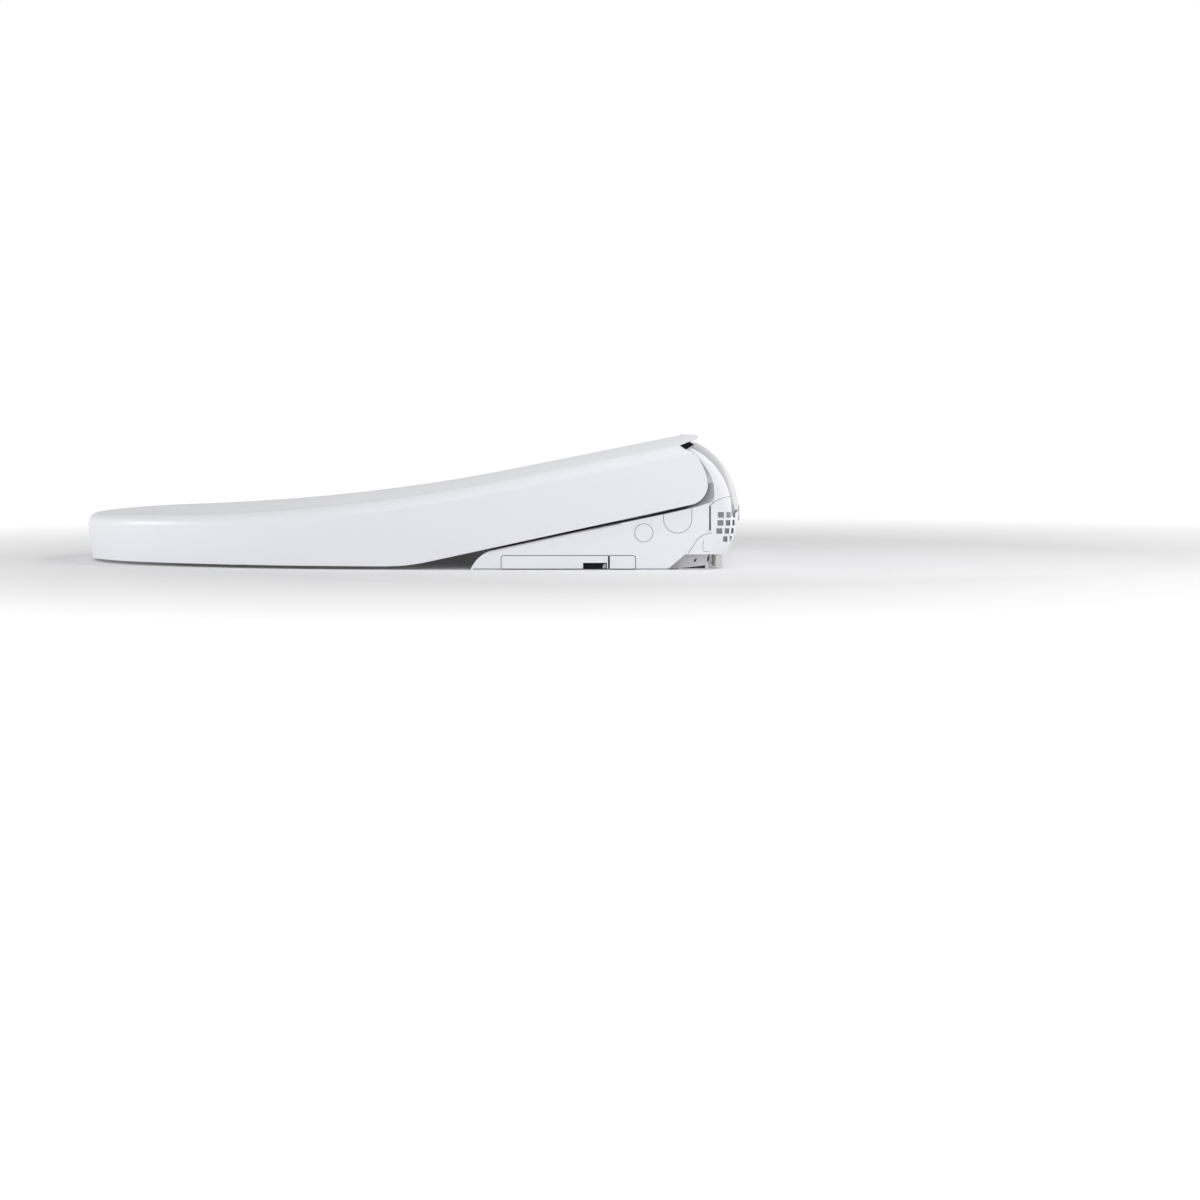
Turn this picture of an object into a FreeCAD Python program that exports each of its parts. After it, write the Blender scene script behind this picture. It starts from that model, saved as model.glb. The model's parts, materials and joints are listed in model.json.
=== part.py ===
import FreeCAD, Part
import Sketcher
import math
import os
import re

# Electric bidet seat, in millimetres. The origin is midway between the two deck bolts, on the
# deck. +Z is up, the seat reaches forward along -Y, and +X is the sitter's left.

doc = FreeCAD.newDocument("bidet_seat")
sheet = doc.addObject("Spreadsheet::Sheet", "Sizes")

SIZES = {
    # the line that the seat and the lid turn on
    "hinge_back": 11.0,
    "hinge_height": 39.0,
    "pin_radius": 5.0,
    "bush_wall": 1.6,
    "running_gap": 0.06,
    "eye_wall": 3.0,
    # the lid, measured outward from the seat
    "lid_side_reach": 7.0,
    "lid_front_reach": 8.5,
    "lid_tip_reach": 6.0,
    "lid_plan_height": 110.0,
    "lid_draft": 8.8,
    "lid_front_draft": 14.3,
    "lid_straight": 200.0,
    "lid_wall": 3.0,
    "lid_plate": 3.0,
    "lid_top_rise": 96.3,
    "lid_top_slope": 0.2,
    "lid_top_bend": 1488.0,
    "lid_top_flat": 131.0,
    "lid_tip_start": 400.0,
    "lid_tip_bend": 1400.0,
    "lid_shoulder": 9.0,
    "lid_rim_height": 2.6,
    "lid_rim_bend": 150.0,
    "lid_gap": 2.0,
    "lid_tail": 22.9,
    "lid_tail_height": 65.0,
    "lid_heel": 9.0,
    "lid_heel_bend": 16.0,
    "lid_tail_bend": 40.0,
    "lid_shoulder_back": 14.0,
    "lid_shoulder_up": 87.4,
    "lid_notch": 4.0,
    "lip_back": 19.4,
    "lip_side": 10.0,
    # the seat
    "seat_side_reach": 9.0,
    "seat_front": 463.0,
    "seat_rear": 50.0,
    "seat_tip_radius": 134.0,
    "seat_bottom_height": 7.0,
    "seat_top_height": 30.0,
    "seat_rear_height": 52.0,
    "seat_round": 8.0,
    "seat_ease": 3.0,
    "seat_wall": 3.0,
    "seat_gap": 2.5,
    "seat_seam": 6.0,
    "seat_bend_place": 196.0,
    "heater_inset": 9.0,
    "heater_thick": 0.8,
    "pad_rear": 215.0,
    "pad_front_across": 120.0,
    "pad_front": 345.0,
    "pad_radius": 9.0,
    "pad_gap": 0.4,
    "hole_front": 392.0,
    "hole_rear": 112.0,
    "hole_half": 106.0,
    "hole_corner": 58.0,
    # the housing of the main unit
    "wedge_rise": 45.8,
    "wedge_slope": 0.2175,
    "front_face": 95.0,
    "barrel_radius": 54.6,
    "barrel_half": 168.0,
    "dome_back": -12.6,
    "dome_height": 44.6,
    "dome_radius": 59.6,
    "case_wall": 2.5,
    "tray_height": 16.0,
    "tray_rear": 24.0,
    "heel_start": 8.2,
    "heel_back": 5.7,
    "heel_height": 11.8,
    "cover_gap": 0.3,
    "cover_depth": 15.3,
    "arm_width": 28.0,
    "cover_wall": 2.3,
    "cover_round": 13.0,
    "cover_edge": 2.5,
    "arm_front": 159.0,
    "arm_top": 143.7,
    "nose_radius": 26.0,
    "cover_recess": 1.4,
    "slot_floor": 27.0,
    # the two arms that turn on each pin
    "arm_gap": 1.5,
    "seat_arm_thick": 5.0,
    "lid_arm_thick": 3.5,
    "lid_arm_near": 48.0,
    "lid_arm_far": 84.0,
    "damper_radius": 13.0,
    "damper_length": 36.0,
    # the caps and the panel on the left cover
    "cap_radius": 10.7,
    "cap_depth": 1.5,
    "cap_seam": 0.3,
    "plug_back": 26.0,
    "plug_height": 28.3,
    "plug_radius": 6.9,
    "panel_height": 10.7,
    "panel_front": 135.3,
    "panel_rear": 53.5,
    "panel_seam": 0.4,
    "panel_corner": 1.8,
    "panel_foot": 0.3,
    "notch_front": 72.6,
    "notch_rear": 54.3,
    "notch_height": 5.3,
    "filter_depth": 30.0,
    "button_front": 52.0,
    "button_rear": 32.5,
    "grille_front": 24.0,
    "grille_slot": 1.5,
    "grille_corner": 30.2,
    "grille_foot_back": 8.0,
    "grille_foot": 12.6,
    "grille_foot_bend": 23.0,
    "grille_turn": 28.4,
    "grille_crown_height": 53.8,
    "grille_follow": 0.65,
    "grille_top_front": 48.9,
    "grille_crown": 32.1,
    "grille_top_rear": 56.4,
    "grille_hole_low": 21.4,
    "grille_hole": 4.2,
    "grille_pitch": 6.2,
    "lid_edge_reveal": 0.0,
    "recess_back": 27.8,
    "recess_bend": 40.0,
    "recess_top_back": 14.5,
    "recess_top": 86.4,
    "boss_height": 1.4,
    "post_radius": 2.5,
    "dome_split": 30.0,
    "gland_place": 40.0,
    "gland_half": 9.0,
    "gland_low": 33.0,
    "gland_high": 45.0,
    "gland_reach": 5.1,
    "gland_bore": 3.5,
    "inlet_place": 150.0,
    "inlet_back": 31.0,
    "inlet_radius": 4.0,
    "button_place": 60.0,
    "button_pitch": 22.0,
    "button_height": 14.0,
    "button_radius": 5.0,
    # the washing wand
    "wand_tilt": 14.0,
    "wand_exit": 12.2,
    "wand_radius": 6.5,
    "wand_length": 136.0,
    "wand_tip_length": 22.0,
    "wand_gap": 0.6,
    "rack_height": 1.8,
    "wand_recess": 2.0,
    "wand_travel": 90.0,
    "tooth_pitch": 3.1416,
    "spray_radius": 0.6,
    "spray_first": 5.0,
    "spray_pitch": 3.2,
    "spray_across": 1.8,
    "spray_depth": 3.0,
    "tip_flat_depth": 1.2,
    "tip_flat_length": 16.0,
    "tooth_half": 0.17,
    "rack_root": 2.5,
    "rack_back": 0.6,
    "trough_half": 10.0,
    "trough_foot": 4.5,
    "trough_top": 3.4,
    "trough_left": 4.0,
    "trough_near": 3.0,
    "shaft_radius": 1.5,
    "motor_radius": 8.0,
    "motor_height": 8.0,
    "pinion_pitch": 5.0,
    "pinion_place": 40.0,
    "pinion_width": 5.0,
    "pinion_tooth_half": 0.15,
    "mesh_depth": 0.8,
    "motor_gap": 0.4,
    # the dryer
    "flap_left": 72.0,
    "flap_right": 28.0,
    "flap_low": 6.5,
    "flap_high": 19.5,
    "flap_thick": 1.6,
    "flap_pin_radius": 0.6,
    "flap_pin_reach": 1.5,
    "flap_gap": 0.4,
    "fan_place": 39.0,
    "fan_height": 55.0,
    "fan_radius": 26.0,
    "fan_left": 62.0,
    "fan_right": 36.0,
    "fan_wall": 2.0,
    "wheel_radius": 20.0,
    "wheel_inset": 3.0,
    "wheel_disc": 2.0,
    "fan_shaft": 15.0,
    "dryer_can_radius": 12.0,
    "dryer_can_length": 19.0,
    "duct_inset": 3.5,
    "duct_half": 4.5,
    "duct_wall": 1.5,
    "duct_near": 4.1,
    "duct_far": 92.0,
    "mouth_near": 40.0,
    "mouth_far": 100.0,
    "element_near": 34.0,
    "element_far": 58.0,
    "element_half": 0.5,
    "suction_inset": 52.0,
    "suction_place": 31.0,
    "suction_width": 18.0,
    "suction_height": 54.0,
    "suction_radius": 22.0,
    "suction_wheel": 16.0,
    "suction_can_radius": 9.0,
    "suction_can_length": 10.0,
    # the plate that the deck bolts hold
    "bolt_spacing": 140.0,
    "bolt_hole": 4.25,
    "base_half": 88.0,
    "base_front": 45.0,
    "base_rear": 29.8,
    "base_thick": 3.0,
    "flange_thick": 1.5,
    "plate_clear": 0.4,
    "plate_ease": 0.5,
    # the closed blocks and boards inside
    "block_gap": 6.0,
    "block_right": 34.0,
    "block_lift": 0.2,
    "board_inset": 44.0,
    "board_thick": 1.6,
    "power_board_gap": 6.0,
    "power_board_width": 38.0,
}

# sizes that follow from others
FOLLOWING = {
    "cover_half": "barrel_half + cover_depth",
    "seat_half": "barrel_half + seat_side_reach",
    "lid_half": "seat_half + lid_side_reach",
    "lid_front": "seat_front + lid_front_reach",
    "lid_tip_radius": "seat_tip_radius + lid_tip_reach",
    "seat_arm_in": "barrel_half + arm_gap",
    "seat_arm_out": "seat_arm_in + seat_arm_thick",
    "lid_arm_in": "seat_arm_out + arm_gap",
    "lid_arm_out": "lid_arm_in + lid_arm_thick",
    "arm_inner": "barrel_half - arm_width",
    "pad_across": "hole_half / 2 + seat_half / 2",
    "suction_right": "barrel_half - suction_inset",
    "suction_left": "suction_right - suction_width",
    "dome_end": "dome_back + dome_radius",
    "suction_back": "dome_end - suction_place",
    "fan_back": "dome_end - fan_place",
    "gland_back": "dome_end + gland_reach",
    "heater_left": "suction_left - block_gap",
    "board_left": "barrel_half - board_inset",
}

for row, (name, value) in enumerate(SIZES.items(), start=1):
    sheet.set("A%d" % row, name)
    sheet.set("B%d" % row, str(value))
    sheet.setAlias("B%d" % row, name)
doc.recompute()

X = FreeCAD.Vector(1, 0, 0)
Y = FreeCAD.Vector(0, 1, 0)
Z = FreeCAD.Vector(0, 0, 1)
# The three ways a sketch can face: along X with (y, z), along Z with (x, y), along -Y with (x, z).
SIDE = (FreeCAD.Rotation(Y, Z, X, "XYZ"), "x")
LEVEL = (FreeCAD.Rotation(), "z")
FACING = (FreeCAD.Rotation(X, Z, -Y, "XYZ"), "y")
MATHS = {"sqrt", "sin", "cos", "tan", "atan", "asin", "acos", "abs", "min", "max", "deg"}


def bind(text):
    """The expression with every size named on the sheet."""
    def place(word):
        name = word.group(0)
        if name in FOLLOWING:
            return "(%s)" % bind(FOLLOWING[name])
        return name if name in MATHS else "Sizes." + name
    return re.sub(r"[a-z][a-z_]*", place, str(text))


def measure(text):
    """What an expression of sizes is worth now."""
    return float(sheet.evalExpression(bind(text)))


def tie(thing, field, text):
    thing.setExpression(field, bind(text))


# ---- sketches ----

def outline(sketch, corners):
    """A closed run of edges, each from its corner to the next.

    A line's corner is (u, v), or (u, v, "along", angle) where the next corner is free.
    An arc's corner is (u, v, bend), with a radius that is positive where the arc turns left,
    or (u, v, centre_u, centre_v, radius).
    A text coordinate is held to the sheet. A plain number is only where the solver starts.
    """
    first = sketch.GeometryCount
    count = len(corners)
    spots = [FreeCAD.Vector(measure(corner[0]), measure(corner[1]), 0) for corner in corners]
    bound = [isinstance(corner[0], str) for corner in corners]
    ends = []
    for index, corner in enumerate(corners):
        start = spots[index]
        stop = spots[(index + 1) % count]
        edge, forward = Part.LineSegment(start, stop), True
        if len(corner) in (3, 5):
            edge, forward = arc_between(start, stop, corner)
        sketch.addGeometry(edge, False)
        ends.append((1, 2) if forward else (2, 1))
    for index in range(count):
        after = (index + 1) % count
        joint = ("Coincident", first + index, ends[index][1], first + after, ends[after][0])
        sketch.addConstraint(Sketcher.Constraint(*joint))
    for index, corner in enumerate(corners):
        edge = first + index
        fixed = bound[index] + bound[(index + 1) % count]
        if bound[index]:
            hold(sketch, ("DistanceX", -1, 1, edge, ends[index][0]), spots[index].x, corner[0])
            hold(sketch, ("DistanceY", -1, 1, edge, ends[index][0]), spots[index].y, corner[1])
        if len(corner) == 3:
            hold(sketch, ("Radius", edge), abs(measure(corner[2])), "abs(%s)" % corner[2])
        if len(corner) == 4:
            hold(sketch, ("Angle", edge), math.radians(measure(corner[3])), corner[3])
        if len(corner) == 5 and fixed < 2:
            hold(sketch, ("DistanceX", -1, 1, edge, 3), measure(corner[2]), corner[2])
            hold(sketch, ("DistanceY", -1, 1, edge, 3), measure(corner[3]), corner[3])
        if len(corner) == 5 and fixed != 1:
            hold(sketch, ("Radius", edge), measure(corner[4]), corner[4])
    return sketch


def hold(sketch, what, value, text):
    number = sketch.addConstraint(Sketcher.Constraint(*what, value))
    tie(sketch, "Constraints[%d]" % number, text)


def arc_between(start, stop, corner):
    """The arc, always kept counterclockwise, and whether it runs from start to stop."""
    chord = stop - start
    middle = (start + stop) * 0.5
    left = FreeCAD.Vector(-chord.y, chord.x, 0).normalize()
    if len(corner) == 5:
        centre = FreeCAD.Vector(measure(corner[2]), measure(corner[3]), 0)
        radius = measure(corner[4])
        forward = (centre - middle).dot(left) > 0
    else:
        radius = abs(measure(corner[2]))
        forward = measure(corner[2]) > 0
        away = math.sqrt(radius ** 2 - chord.Length ** 2 / 4)
        centre = middle + left * (away if forward else -away)
    first, last = (start, stop) if forward else (stop, start)
    low = math.atan2(first.y - centre.y, first.x - centre.x)
    high = math.atan2(last.y - centre.y, last.x - centre.x)
    if high < low:
        high += 2 * math.pi
    return Part.ArcOfCircle(Part.Circle(centre, Z, radius), low, high), forward


def ring(sketch, u, v, radius):
    """A circle held to the sheet."""
    spot = FreeCAD.Vector(measure(u), measure(v), 0)
    edge = sketch.addGeometry(Part.Circle(spot, Z, measure(radius)), False)
    hold(sketch, ("DistanceX", -1, 1, edge, 3), spot.x, u)
    hold(sketch, ("DistanceY", -1, 1, edge, 3), spot.y, v)
    hold(sketch, ("Radius", edge), measure(radius), radius)
    return sketch


def free_sketch(name, facing, start):
    """A sketch that stands by itself, at a place along the axis that it faces."""
    turn, letter = facing
    sketch = doc.addObject("Sketcher::SketchObject", name)
    sketch.Placement = FreeCAD.Placement(FreeCAD.Vector(0, 0, 0), turn)
    tie(sketch, "Placement.Base." + letter, start)
    return sketch


# ---- solids ----

def extrude(name, sketch, length):
    solid = doc.addObject("Part::Extrusion", name)
    solid.Base = sketch
    solid.DirMode = "Normal"
    solid.Solid = True
    tie(solid, "LengthFwd", length)
    return solid


def slab(name, corners, low, high):
    """A side outline, (y, z), carried along X."""
    sketch = outline(free_sketch(name + "_outline", SIDE, low), corners)
    return extrude(name, sketch, "(%s) - (%s)" % (high, low))


def plate(name, corners, low, high):
    """A plan outline, (x, y), carried up Z."""
    sketch = outline(free_sketch(name + "_outline", LEVEL, low), corners)
    return extrude(name, sketch, "(%s) - (%s)" % (high, low))


def block(name, low, high):
    """A box between two corners."""
    solid = doc.addObject("Part::Box", name)
    for field, letter, near, far in zip(("Length", "Width", "Height"), "xyz", low, high):
        tie(solid, field, "(%s) - (%s)" % (far, near))
        tie(solid, "Placement.Base." + letter, near)
    return solid


def rod(name, foot, radius, length, turn=SIDE[0]):
    """A cylinder from its foot, along X unless it is turned another way."""
    solid = doc.addObject("Part::Cylinder", name)
    solid.Placement = FreeCAD.Placement(FreeCAD.Vector(0, 0, 0), turn)
    for letter, text in zip("xyz", foot):
        tie(solid, "Placement.Base." + letter, text)
    tie(solid, "Radius", radius)
    tie(solid, "Height", length)
    return solid


def less(name, base, *tools):
    """The base with every tool taken out of it."""
    result = doc.addObject("Part::Cut", name)
    result.Base = base
    result.Tool = tools[0] if len(tools) == 1 else fused(name + "_tools", *tools)
    return result


def fused(name, *pieces):
    result = doc.addObject("Part::MultiFuse", name)
    result.Shapes = list(pieces)
    return result


def shared(name, one, other):
    result = doc.addObject("Part::Common", name)
    result.Base = one
    result.Tool = other
    return result


def edges_where(solid, test):
    return ["Edge%d" % number for number, edge in enumerate(solid.Shape.Edges, start=1) if test(edge)]


def dressed(name, base, kind, field, amount, test):
    """The base with a fillet or a chamfer on the edges that pass the test."""
    doc.recompute()
    edges = edges_where(base, test)
    body = doc.addObject("PartDesign::Body", name)
    body.BaseFeature = base
    doc.recompute()
    start = body.Tip
    dressing = body.newObject("PartDesign::" + kind, name + "_" + kind.lower())
    dressing.Base = (start, edges)
    tie(dressing, field, amount)
    body.Tip = dressing
    doc.recompute()
    return body


def rounded(name, base, radius, test):
    return dressed(name, base, "Fillet", "Radius", radius, test)


def bevelled(name, base, size, test):
    return dressed(name, base, "Chamfer", "Size", size, test)


parts = {}


def keep(solid, label):
    solid.Label = label
    parts[label] = solid
    return solid


# ---- the lid ----

def oval(name, height, half, front, rear, straight, tip, inset="0"):
    """A plan outline: straight sides, a wide arc on each side, and the tip's own arc.

    The wide arc starts square to the side and runs smoothly into the tip's arc.
    """
    side = "((%s) - (%s))" % (half, inset)
    point = "((%s) - (%s))" % (tip, inset)
    centre = "((%s) - (%s))" % (front, tip)
    reach = "(%s - %s)" % (centre, straight)
    sweep = "((%s^2 + %s^2 - %s^2) / (2 * (%s - %s)))" % (side, reach, point, side, point)
    spread = "(%s * (%s - %s) / (%s - %s))" % (point, sweep, side, sweep, point)
    depth = "(%s + %s * %s / (%s - %s))" % (centre, point, reach, sweep, point)
    return outline(free_sketch(name, LEVEL, height), [
        (side, rear),
        ("-" + side, rear),
        ("-" + side, "-" + straight, sweep),
        ("-" + spread, "-" + depth, point),
        (spread, "-" + depth, sweep),
        (side, "-" + straight),
    ])


def drafted(name, inset, rear):
    """The lid's plan, which widens as it rises."""
    low = oval(name + "_low", "0", "lid_half", "lid_front", rear, "lid_straight",
               "lid_tip_radius", inset)
    high = oval(name + "_high", "lid_plan_height", "lid_half + lid_draft",
                "lid_front + lid_front_draft", rear, "lid_straight", "lid_tip_radius + lid_draft",
                inset)
    loft = doc.addObject("Part::Loft", name)
    loft.Sections = [low, high]
    loft.Solid = True
    loft.Ruled = True
    return loft


TOP_LEAN = "sqrt(1 + lid_top_slope^2)"
WEDGE_LEAN = "sqrt(1 + wedge_slope^2)"


def lid_top(y, inset="0"):
    return "(lid_top_rise + lid_top_slope * (%s) - (%s) * %s)" % (y, inset, TOP_LEAN)


def wedge(y, lift="0"):
    return "(wedge_rise + wedge_slope * (%s) + (%s))" % (y, lift)


# the centre of the sweep in the lid's top, and the way from it to where the tip begins to fall
SWEEP_BACK = "(-lid_top_flat - lid_top_bend * lid_top_slope / %s)" % TOP_LEAN
SWEEP_UP = "(lid_top_rise - lid_top_slope * lid_top_flat + lid_top_bend / %s)" % TOP_LEAN
TIP_BACK = "((-lid_tip_start - %s) / lid_top_bend)" % SWEEP_BACK
TIP_UP = "sqrt(1 - %s^2)" % TIP_BACK
TIP_CENTRE_BACK = "(%s + (lid_top_bend + lid_tip_bend) * %s)" % (SWEEP_BACK, TIP_BACK)
TIP_CENTRE_UP = "(%s - (lid_top_bend + lid_tip_bend) * %s)" % (SWEEP_UP, TIP_UP)


def lid_top_edges(inset):
    """The lid's top from the rear: a straight fall, a wide hollow sweep, then a slight crown."""
    radius = "(lid_top_bend + (%s))" % inset
    crown = "(lid_tip_bend - (%s))" % inset
    touch = "(-lid_top_flat + (%s) * lid_top_slope / %s)" % (inset, TOP_LEAN)
    start = ("(%s + %s * %s)" % (SWEEP_BACK, radius, TIP_BACK),
             "(%s - %s * %s)" % (SWEEP_UP, radius, TIP_UP))
    front = "(-lid_front - 30)"
    end = "(%s + sqrt(%s^2 - (%s - %s)^2))" % (TIP_CENTRE_UP, crown, front, TIP_CENTRE_BACK)
    return [(touch, lid_top(touch, inset), "-" + radius), (*start, crown), (front, end)]


def lid_outer():
    meet = "((lid_rim_height - wedge_rise - lid_gap) / wedge_slope)"
    run = "(lid_rim_bend * tan(atan(wedge_slope) / 2))"
    climb = "(%s + %s * cos(atan(wedge_slope)))" % (meet, run)
    corners = [
        ("-lid_front - 30", "lid_rim_height"),
        ("%s - %s" % (meet, run), "lid_rim_height", "lid_rim_bend"),
        (climb, wedge(climb, "lid_gap")),
        ("lid_heel", wedge("lid_heel", "lid_gap"), "lid_heel_bend"),
        ("lid_tail", "lid_tail_height", "lid_tail_bend"),
        ("lid_shoulder_back", "lid_shoulder_up"),
        ("lid_notch", lid_top("lid_notch", "lid_plate")),
        ("lip_back", lid_top("lip_back", "lid_plate")),
        ("lip_back", lid_top("lip_back")),
    ] + lid_top_edges("0")
    side = slab("lid_side", corners, "-lid_half - lid_draft - 5", "lid_half + lid_draft + 5")
    return shared("lid_block", drafted("lid_plan", "0", "lid_tail + 5"), side)


def lid_inner():
    corners = [
        ("-lid_front - 30", "-10"),
        ("lid_tail + 15", "-10"),
        ("lid_tail + 15", lid_top("lid_tail + 15", "lid_plate")),
    ] + lid_top_edges("lid_plate")
    side = slab("lid_hollow_side", corners, "-lid_half - lid_draft", "lid_half + lid_draft")
    return shared("lid_hollow", drafted("lid_hollow_plan", "lid_wall", "lid_tail + 10"), side)


def top_height(y):
    """The lid's top at a distance from the hinge line, worked out from the sheet."""
    if y > -measure("lid_top_flat"):
        return measure(lid_top(str(y)))
    if y > -measure("lid_tip_start"):
        return measure("%s - sqrt(lid_top_bend^2 - (%s - %s)^2)" % (SWEEP_UP, y, SWEEP_BACK))
    return measure("%s + sqrt(lid_tip_bend^2 - (%s - %s)^2)" % (TIP_CENTRE_UP, y, TIP_CENTRE_BACK))


def middle_of(edge):
    return edge.valueAt((edge.FirstParameter + edge.LastParameter) / 2)


def on_shoulder(inset):
    """Whether an edge runs round the lid where its top meets its wall."""
    drop = measure("(%s) * %s" % (inset, TOP_LEAN))
    tip = measure("-lid_front + 75")
    rear = measure("lid_notch + 58")

    def test(edge):
        spot = middle_of(edge)
        across = abs(edge.tangentAt(edge.FirstParameter).x) > 0.99
        low = abs(spot.z - (top_height(spot.y) - drop)) < 0.6
        return low and (spot.y < tip or (spot.y < rear and not across))
    return test


def arm_plate(name, near, far, tip):
    """A hinge arm: an eye round the pin and a tapered bar that ends on the given points."""
    eye = "(pin_radius + running_gap + bush_wall + eye_wall)"
    bar = slab(name + "_bar", [
        ("hinge_back - 0.35 * %s" % eye, "hinge_height - 0.93 * %s" % eye),
        ("hinge_back + 0.45 * %s" % eye, "hinge_height + 0.89 * %s" % eye),
    ] + tip, near, far)
    width = "(%s) - (%s)" % (far, near)
    round_end = rod(name + "_eye", (near, "hinge_back", "hinge_height"), eye, width)
    return fused(name, bar, round_end)


def eye_hole(name, near, far):
    reach = "(%s) - (%s) + 2" % (far, near)
    foot = ("(%s) - 1" % near, "hinge_back", "hinge_height")
    return rod(name, foot, "pin_radius + running_gap + bush_wall", reach)


def bush(name, near, far):
    """A plain sleeve between the pin and an arm's eye."""
    foot = (near, "hinge_back", "hinge_height")
    width = "(%s) - (%s)" % (far, near)
    sleeve = rod(name + "_sleeve", foot, "pin_radius + running_gap + bush_wall", width)
    return less(name, sleeve, rod(name + "_bore", foot, "pin_radius + running_gap", width))


def both_sides(near, far):
    """The same span of X on the left and on the right."""
    return (near, far), ("-(%s)" % far, "-(%s)" % near)


def lid_shell(outer, hollow):
    """The moulded lid: a wide shallow shell, open below and behind, with two hinge arms."""
    arms = []
    holes = []
    for side, span in zip(("left", "right"), both_sides("lid_arm_in", "lid_arm_out")):
        tip = [("-lid_arm_near", lid_top("-lid_arm_near", "lid_plate - 1")),
               ("-lid_arm_far", lid_top("-lid_arm_far", "lid_plate - 1"))]
        arms.append(arm_plate("lid_arm_" + side, span[0], span[1], tip))
        holes.append(eye_hole("lid_eye_" + side, span[0], span[1]))
    lip_sweep = "((lid_half + 16)^2 + (lip_back - lip_side)^2) / (2 * (lip_back - lip_side))"
    trim = plate("lip_trim", [
        ("lid_half + 16", "lip_side"),
        ("lid_half + 16", "lid_tail + 20"),
        ("-lid_half - 16", "lid_tail + 20"),
        ("-lid_half - 16", "lip_side", "-(%s)" % lip_sweep),
    ], "lid_shoulder_up + 1", "lid_top_rise + 20")
    shell = less("lid_walls", outer, hollow, trim)
    return less("lid_moulding", fused("lid_with_arms", shell, *arms), *holes)


def lid_bumpers(hollow):
    """Four soft pads under the lid, which rest on the seat."""
    pads = []
    for number, (across, forward) in enumerate(PADS):
        foot = (across, forward, "seat_bottom_height")
        pads.append(rod("lid_pad_%d" % number, foot, "pad_radius - 2", "60", LEVEL[0]))
    return fused("lid_pads", *pads)


# ---- the seat ----

def seat_side(name, inset, low, high, extra="0"):
    """The seat's side: flat below in front, rising over the housing behind, hollow on top."""
    meet = "((seat_bottom_height - wedge_rise - seat_gap) / wedge_slope)"
    rear = "(-seat_rear - (%s))" % inset
    return slab(name, [
        ("-seat_front - 20", "seat_bottom_height + (%s)" % inset),
        (meet, "seat_bottom_height + (%s)" % inset),
        (rear, wedge(rear, "seat_gap + (%s)" % inset)),
        (rear, "seat_rear_height - (%s)" % inset),
        ("-seat_bend_place", "seat_top_height - (%s)" % inset),
        ("-seat_front - 20", "seat_top_height - (%s)" % inset),
    ], low, high)


def seat_plan(name, inset):
    sketch = oval(name + "_outline", "0", "seat_half", "seat_front", "-seat_rear - (%s)" % inset,
                  "lid_straight", "seat_tip_radius", inset)
    return extrude(name, sketch, "seat_rear_height + 20")


def seat_hole(name, outset):
    """The opening: a round front, straight sides and a squarer back."""
    half = "(hole_half + (%s))" % outset
    middle = "-(hole_front - hole_half)"
    back = "(-hole_rear + (%s))" % outset
    corner = "(hole_corner + (%s))" % outset
    return plate(name, [
        (half, middle),
        (half, "%s - %s" % (back, corner), corner),
        ("%s - %s" % (half, corner), back),
        ("-(%s - %s)" % (half, corner), back, corner),
        ("-" + half, "%s - %s" % (back, corner)),
        ("-" + half, middle, half),
        ("0", "%s - %s" % (middle, half), half),
    ], "-10", "seat_rear_height + 20")


def seat_block():
    side = seat_side("seat_side", "0", "-seat_half - 5", "seat_half + 5")
    solid = less("seat_ring", shared("seat_blank", seat_plan("seat_plan", "0"), side),
                 seat_hole("seat_hole", "0"))
    solid = rounded("seat_rounded", solid, "seat_round", on_seat_top("0", round_the_hole=False))
    return bevelled("seat_eased", solid, "seat_ease", on_seat_top("0", round_the_hole=True))


def on_seat_top(inset, round_the_hole):
    """Whether an edge runs round the seat's top, outside it or round the opening."""
    top = measure("seat_top_height - (%s)" % inset) - 2
    outer = measure("seat_half - (%s)" % inset)
    front = measure("-seat_front + seat_wall + 5")

    def test(edge):
        spot = middle_of(edge)
        box = edge.BoundBox
        across = abs(edge.tangentAt(edge.FirstParameter).x) > 0.99
        by_rear = spot.y > -measure("seat_rear") - measure(inset) - 1
        outside = max(abs(box.XMin), abs(box.XMax)) > outer - 1 or spot.y < front
        if box.ZMin < top or by_rear or (across and not round_the_hole):
            return False
        crease = across and abs(spot.y + measure("hole_rear")) > 20
        return outside != round_the_hole and not crease
    return test


def seat_cavity():
    inset = "seat_wall"
    side = seat_side("seat_hollow_side", inset, "-seat_half", "seat_half")
    solid = less("seat_hollow", shared("seat_hollow_blank", seat_plan("seat_hollow_plan", inset), side),
                 seat_hole("seat_hollow_rim", inset))
    solid = bevelled("seat_hollow_outside", solid, "seat_ease", on_seat_top(inset, round_the_hole=False))
    return bevelled("seat_hollow_inside", solid, "seat_ease", on_seat_top(inset, round_the_hole=True))


def below_seam(name, low, high):
    """All that lies under the seam between the seat's two mouldings."""
    meet = "((seat_bottom_height - wedge_rise - seat_gap) / wedge_slope)"
    return slab(name, [
        ("-seat_front - 30", "-20"),
        ("0", "-20"),
        ("0", wedge("0", "seat_gap + seat_seam")),
        (meet, "seat_bottom_height + seat_seam"),
        ("-seat_front - 30", "seat_bottom_height + seat_seam"),
    ], low, high)


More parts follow.
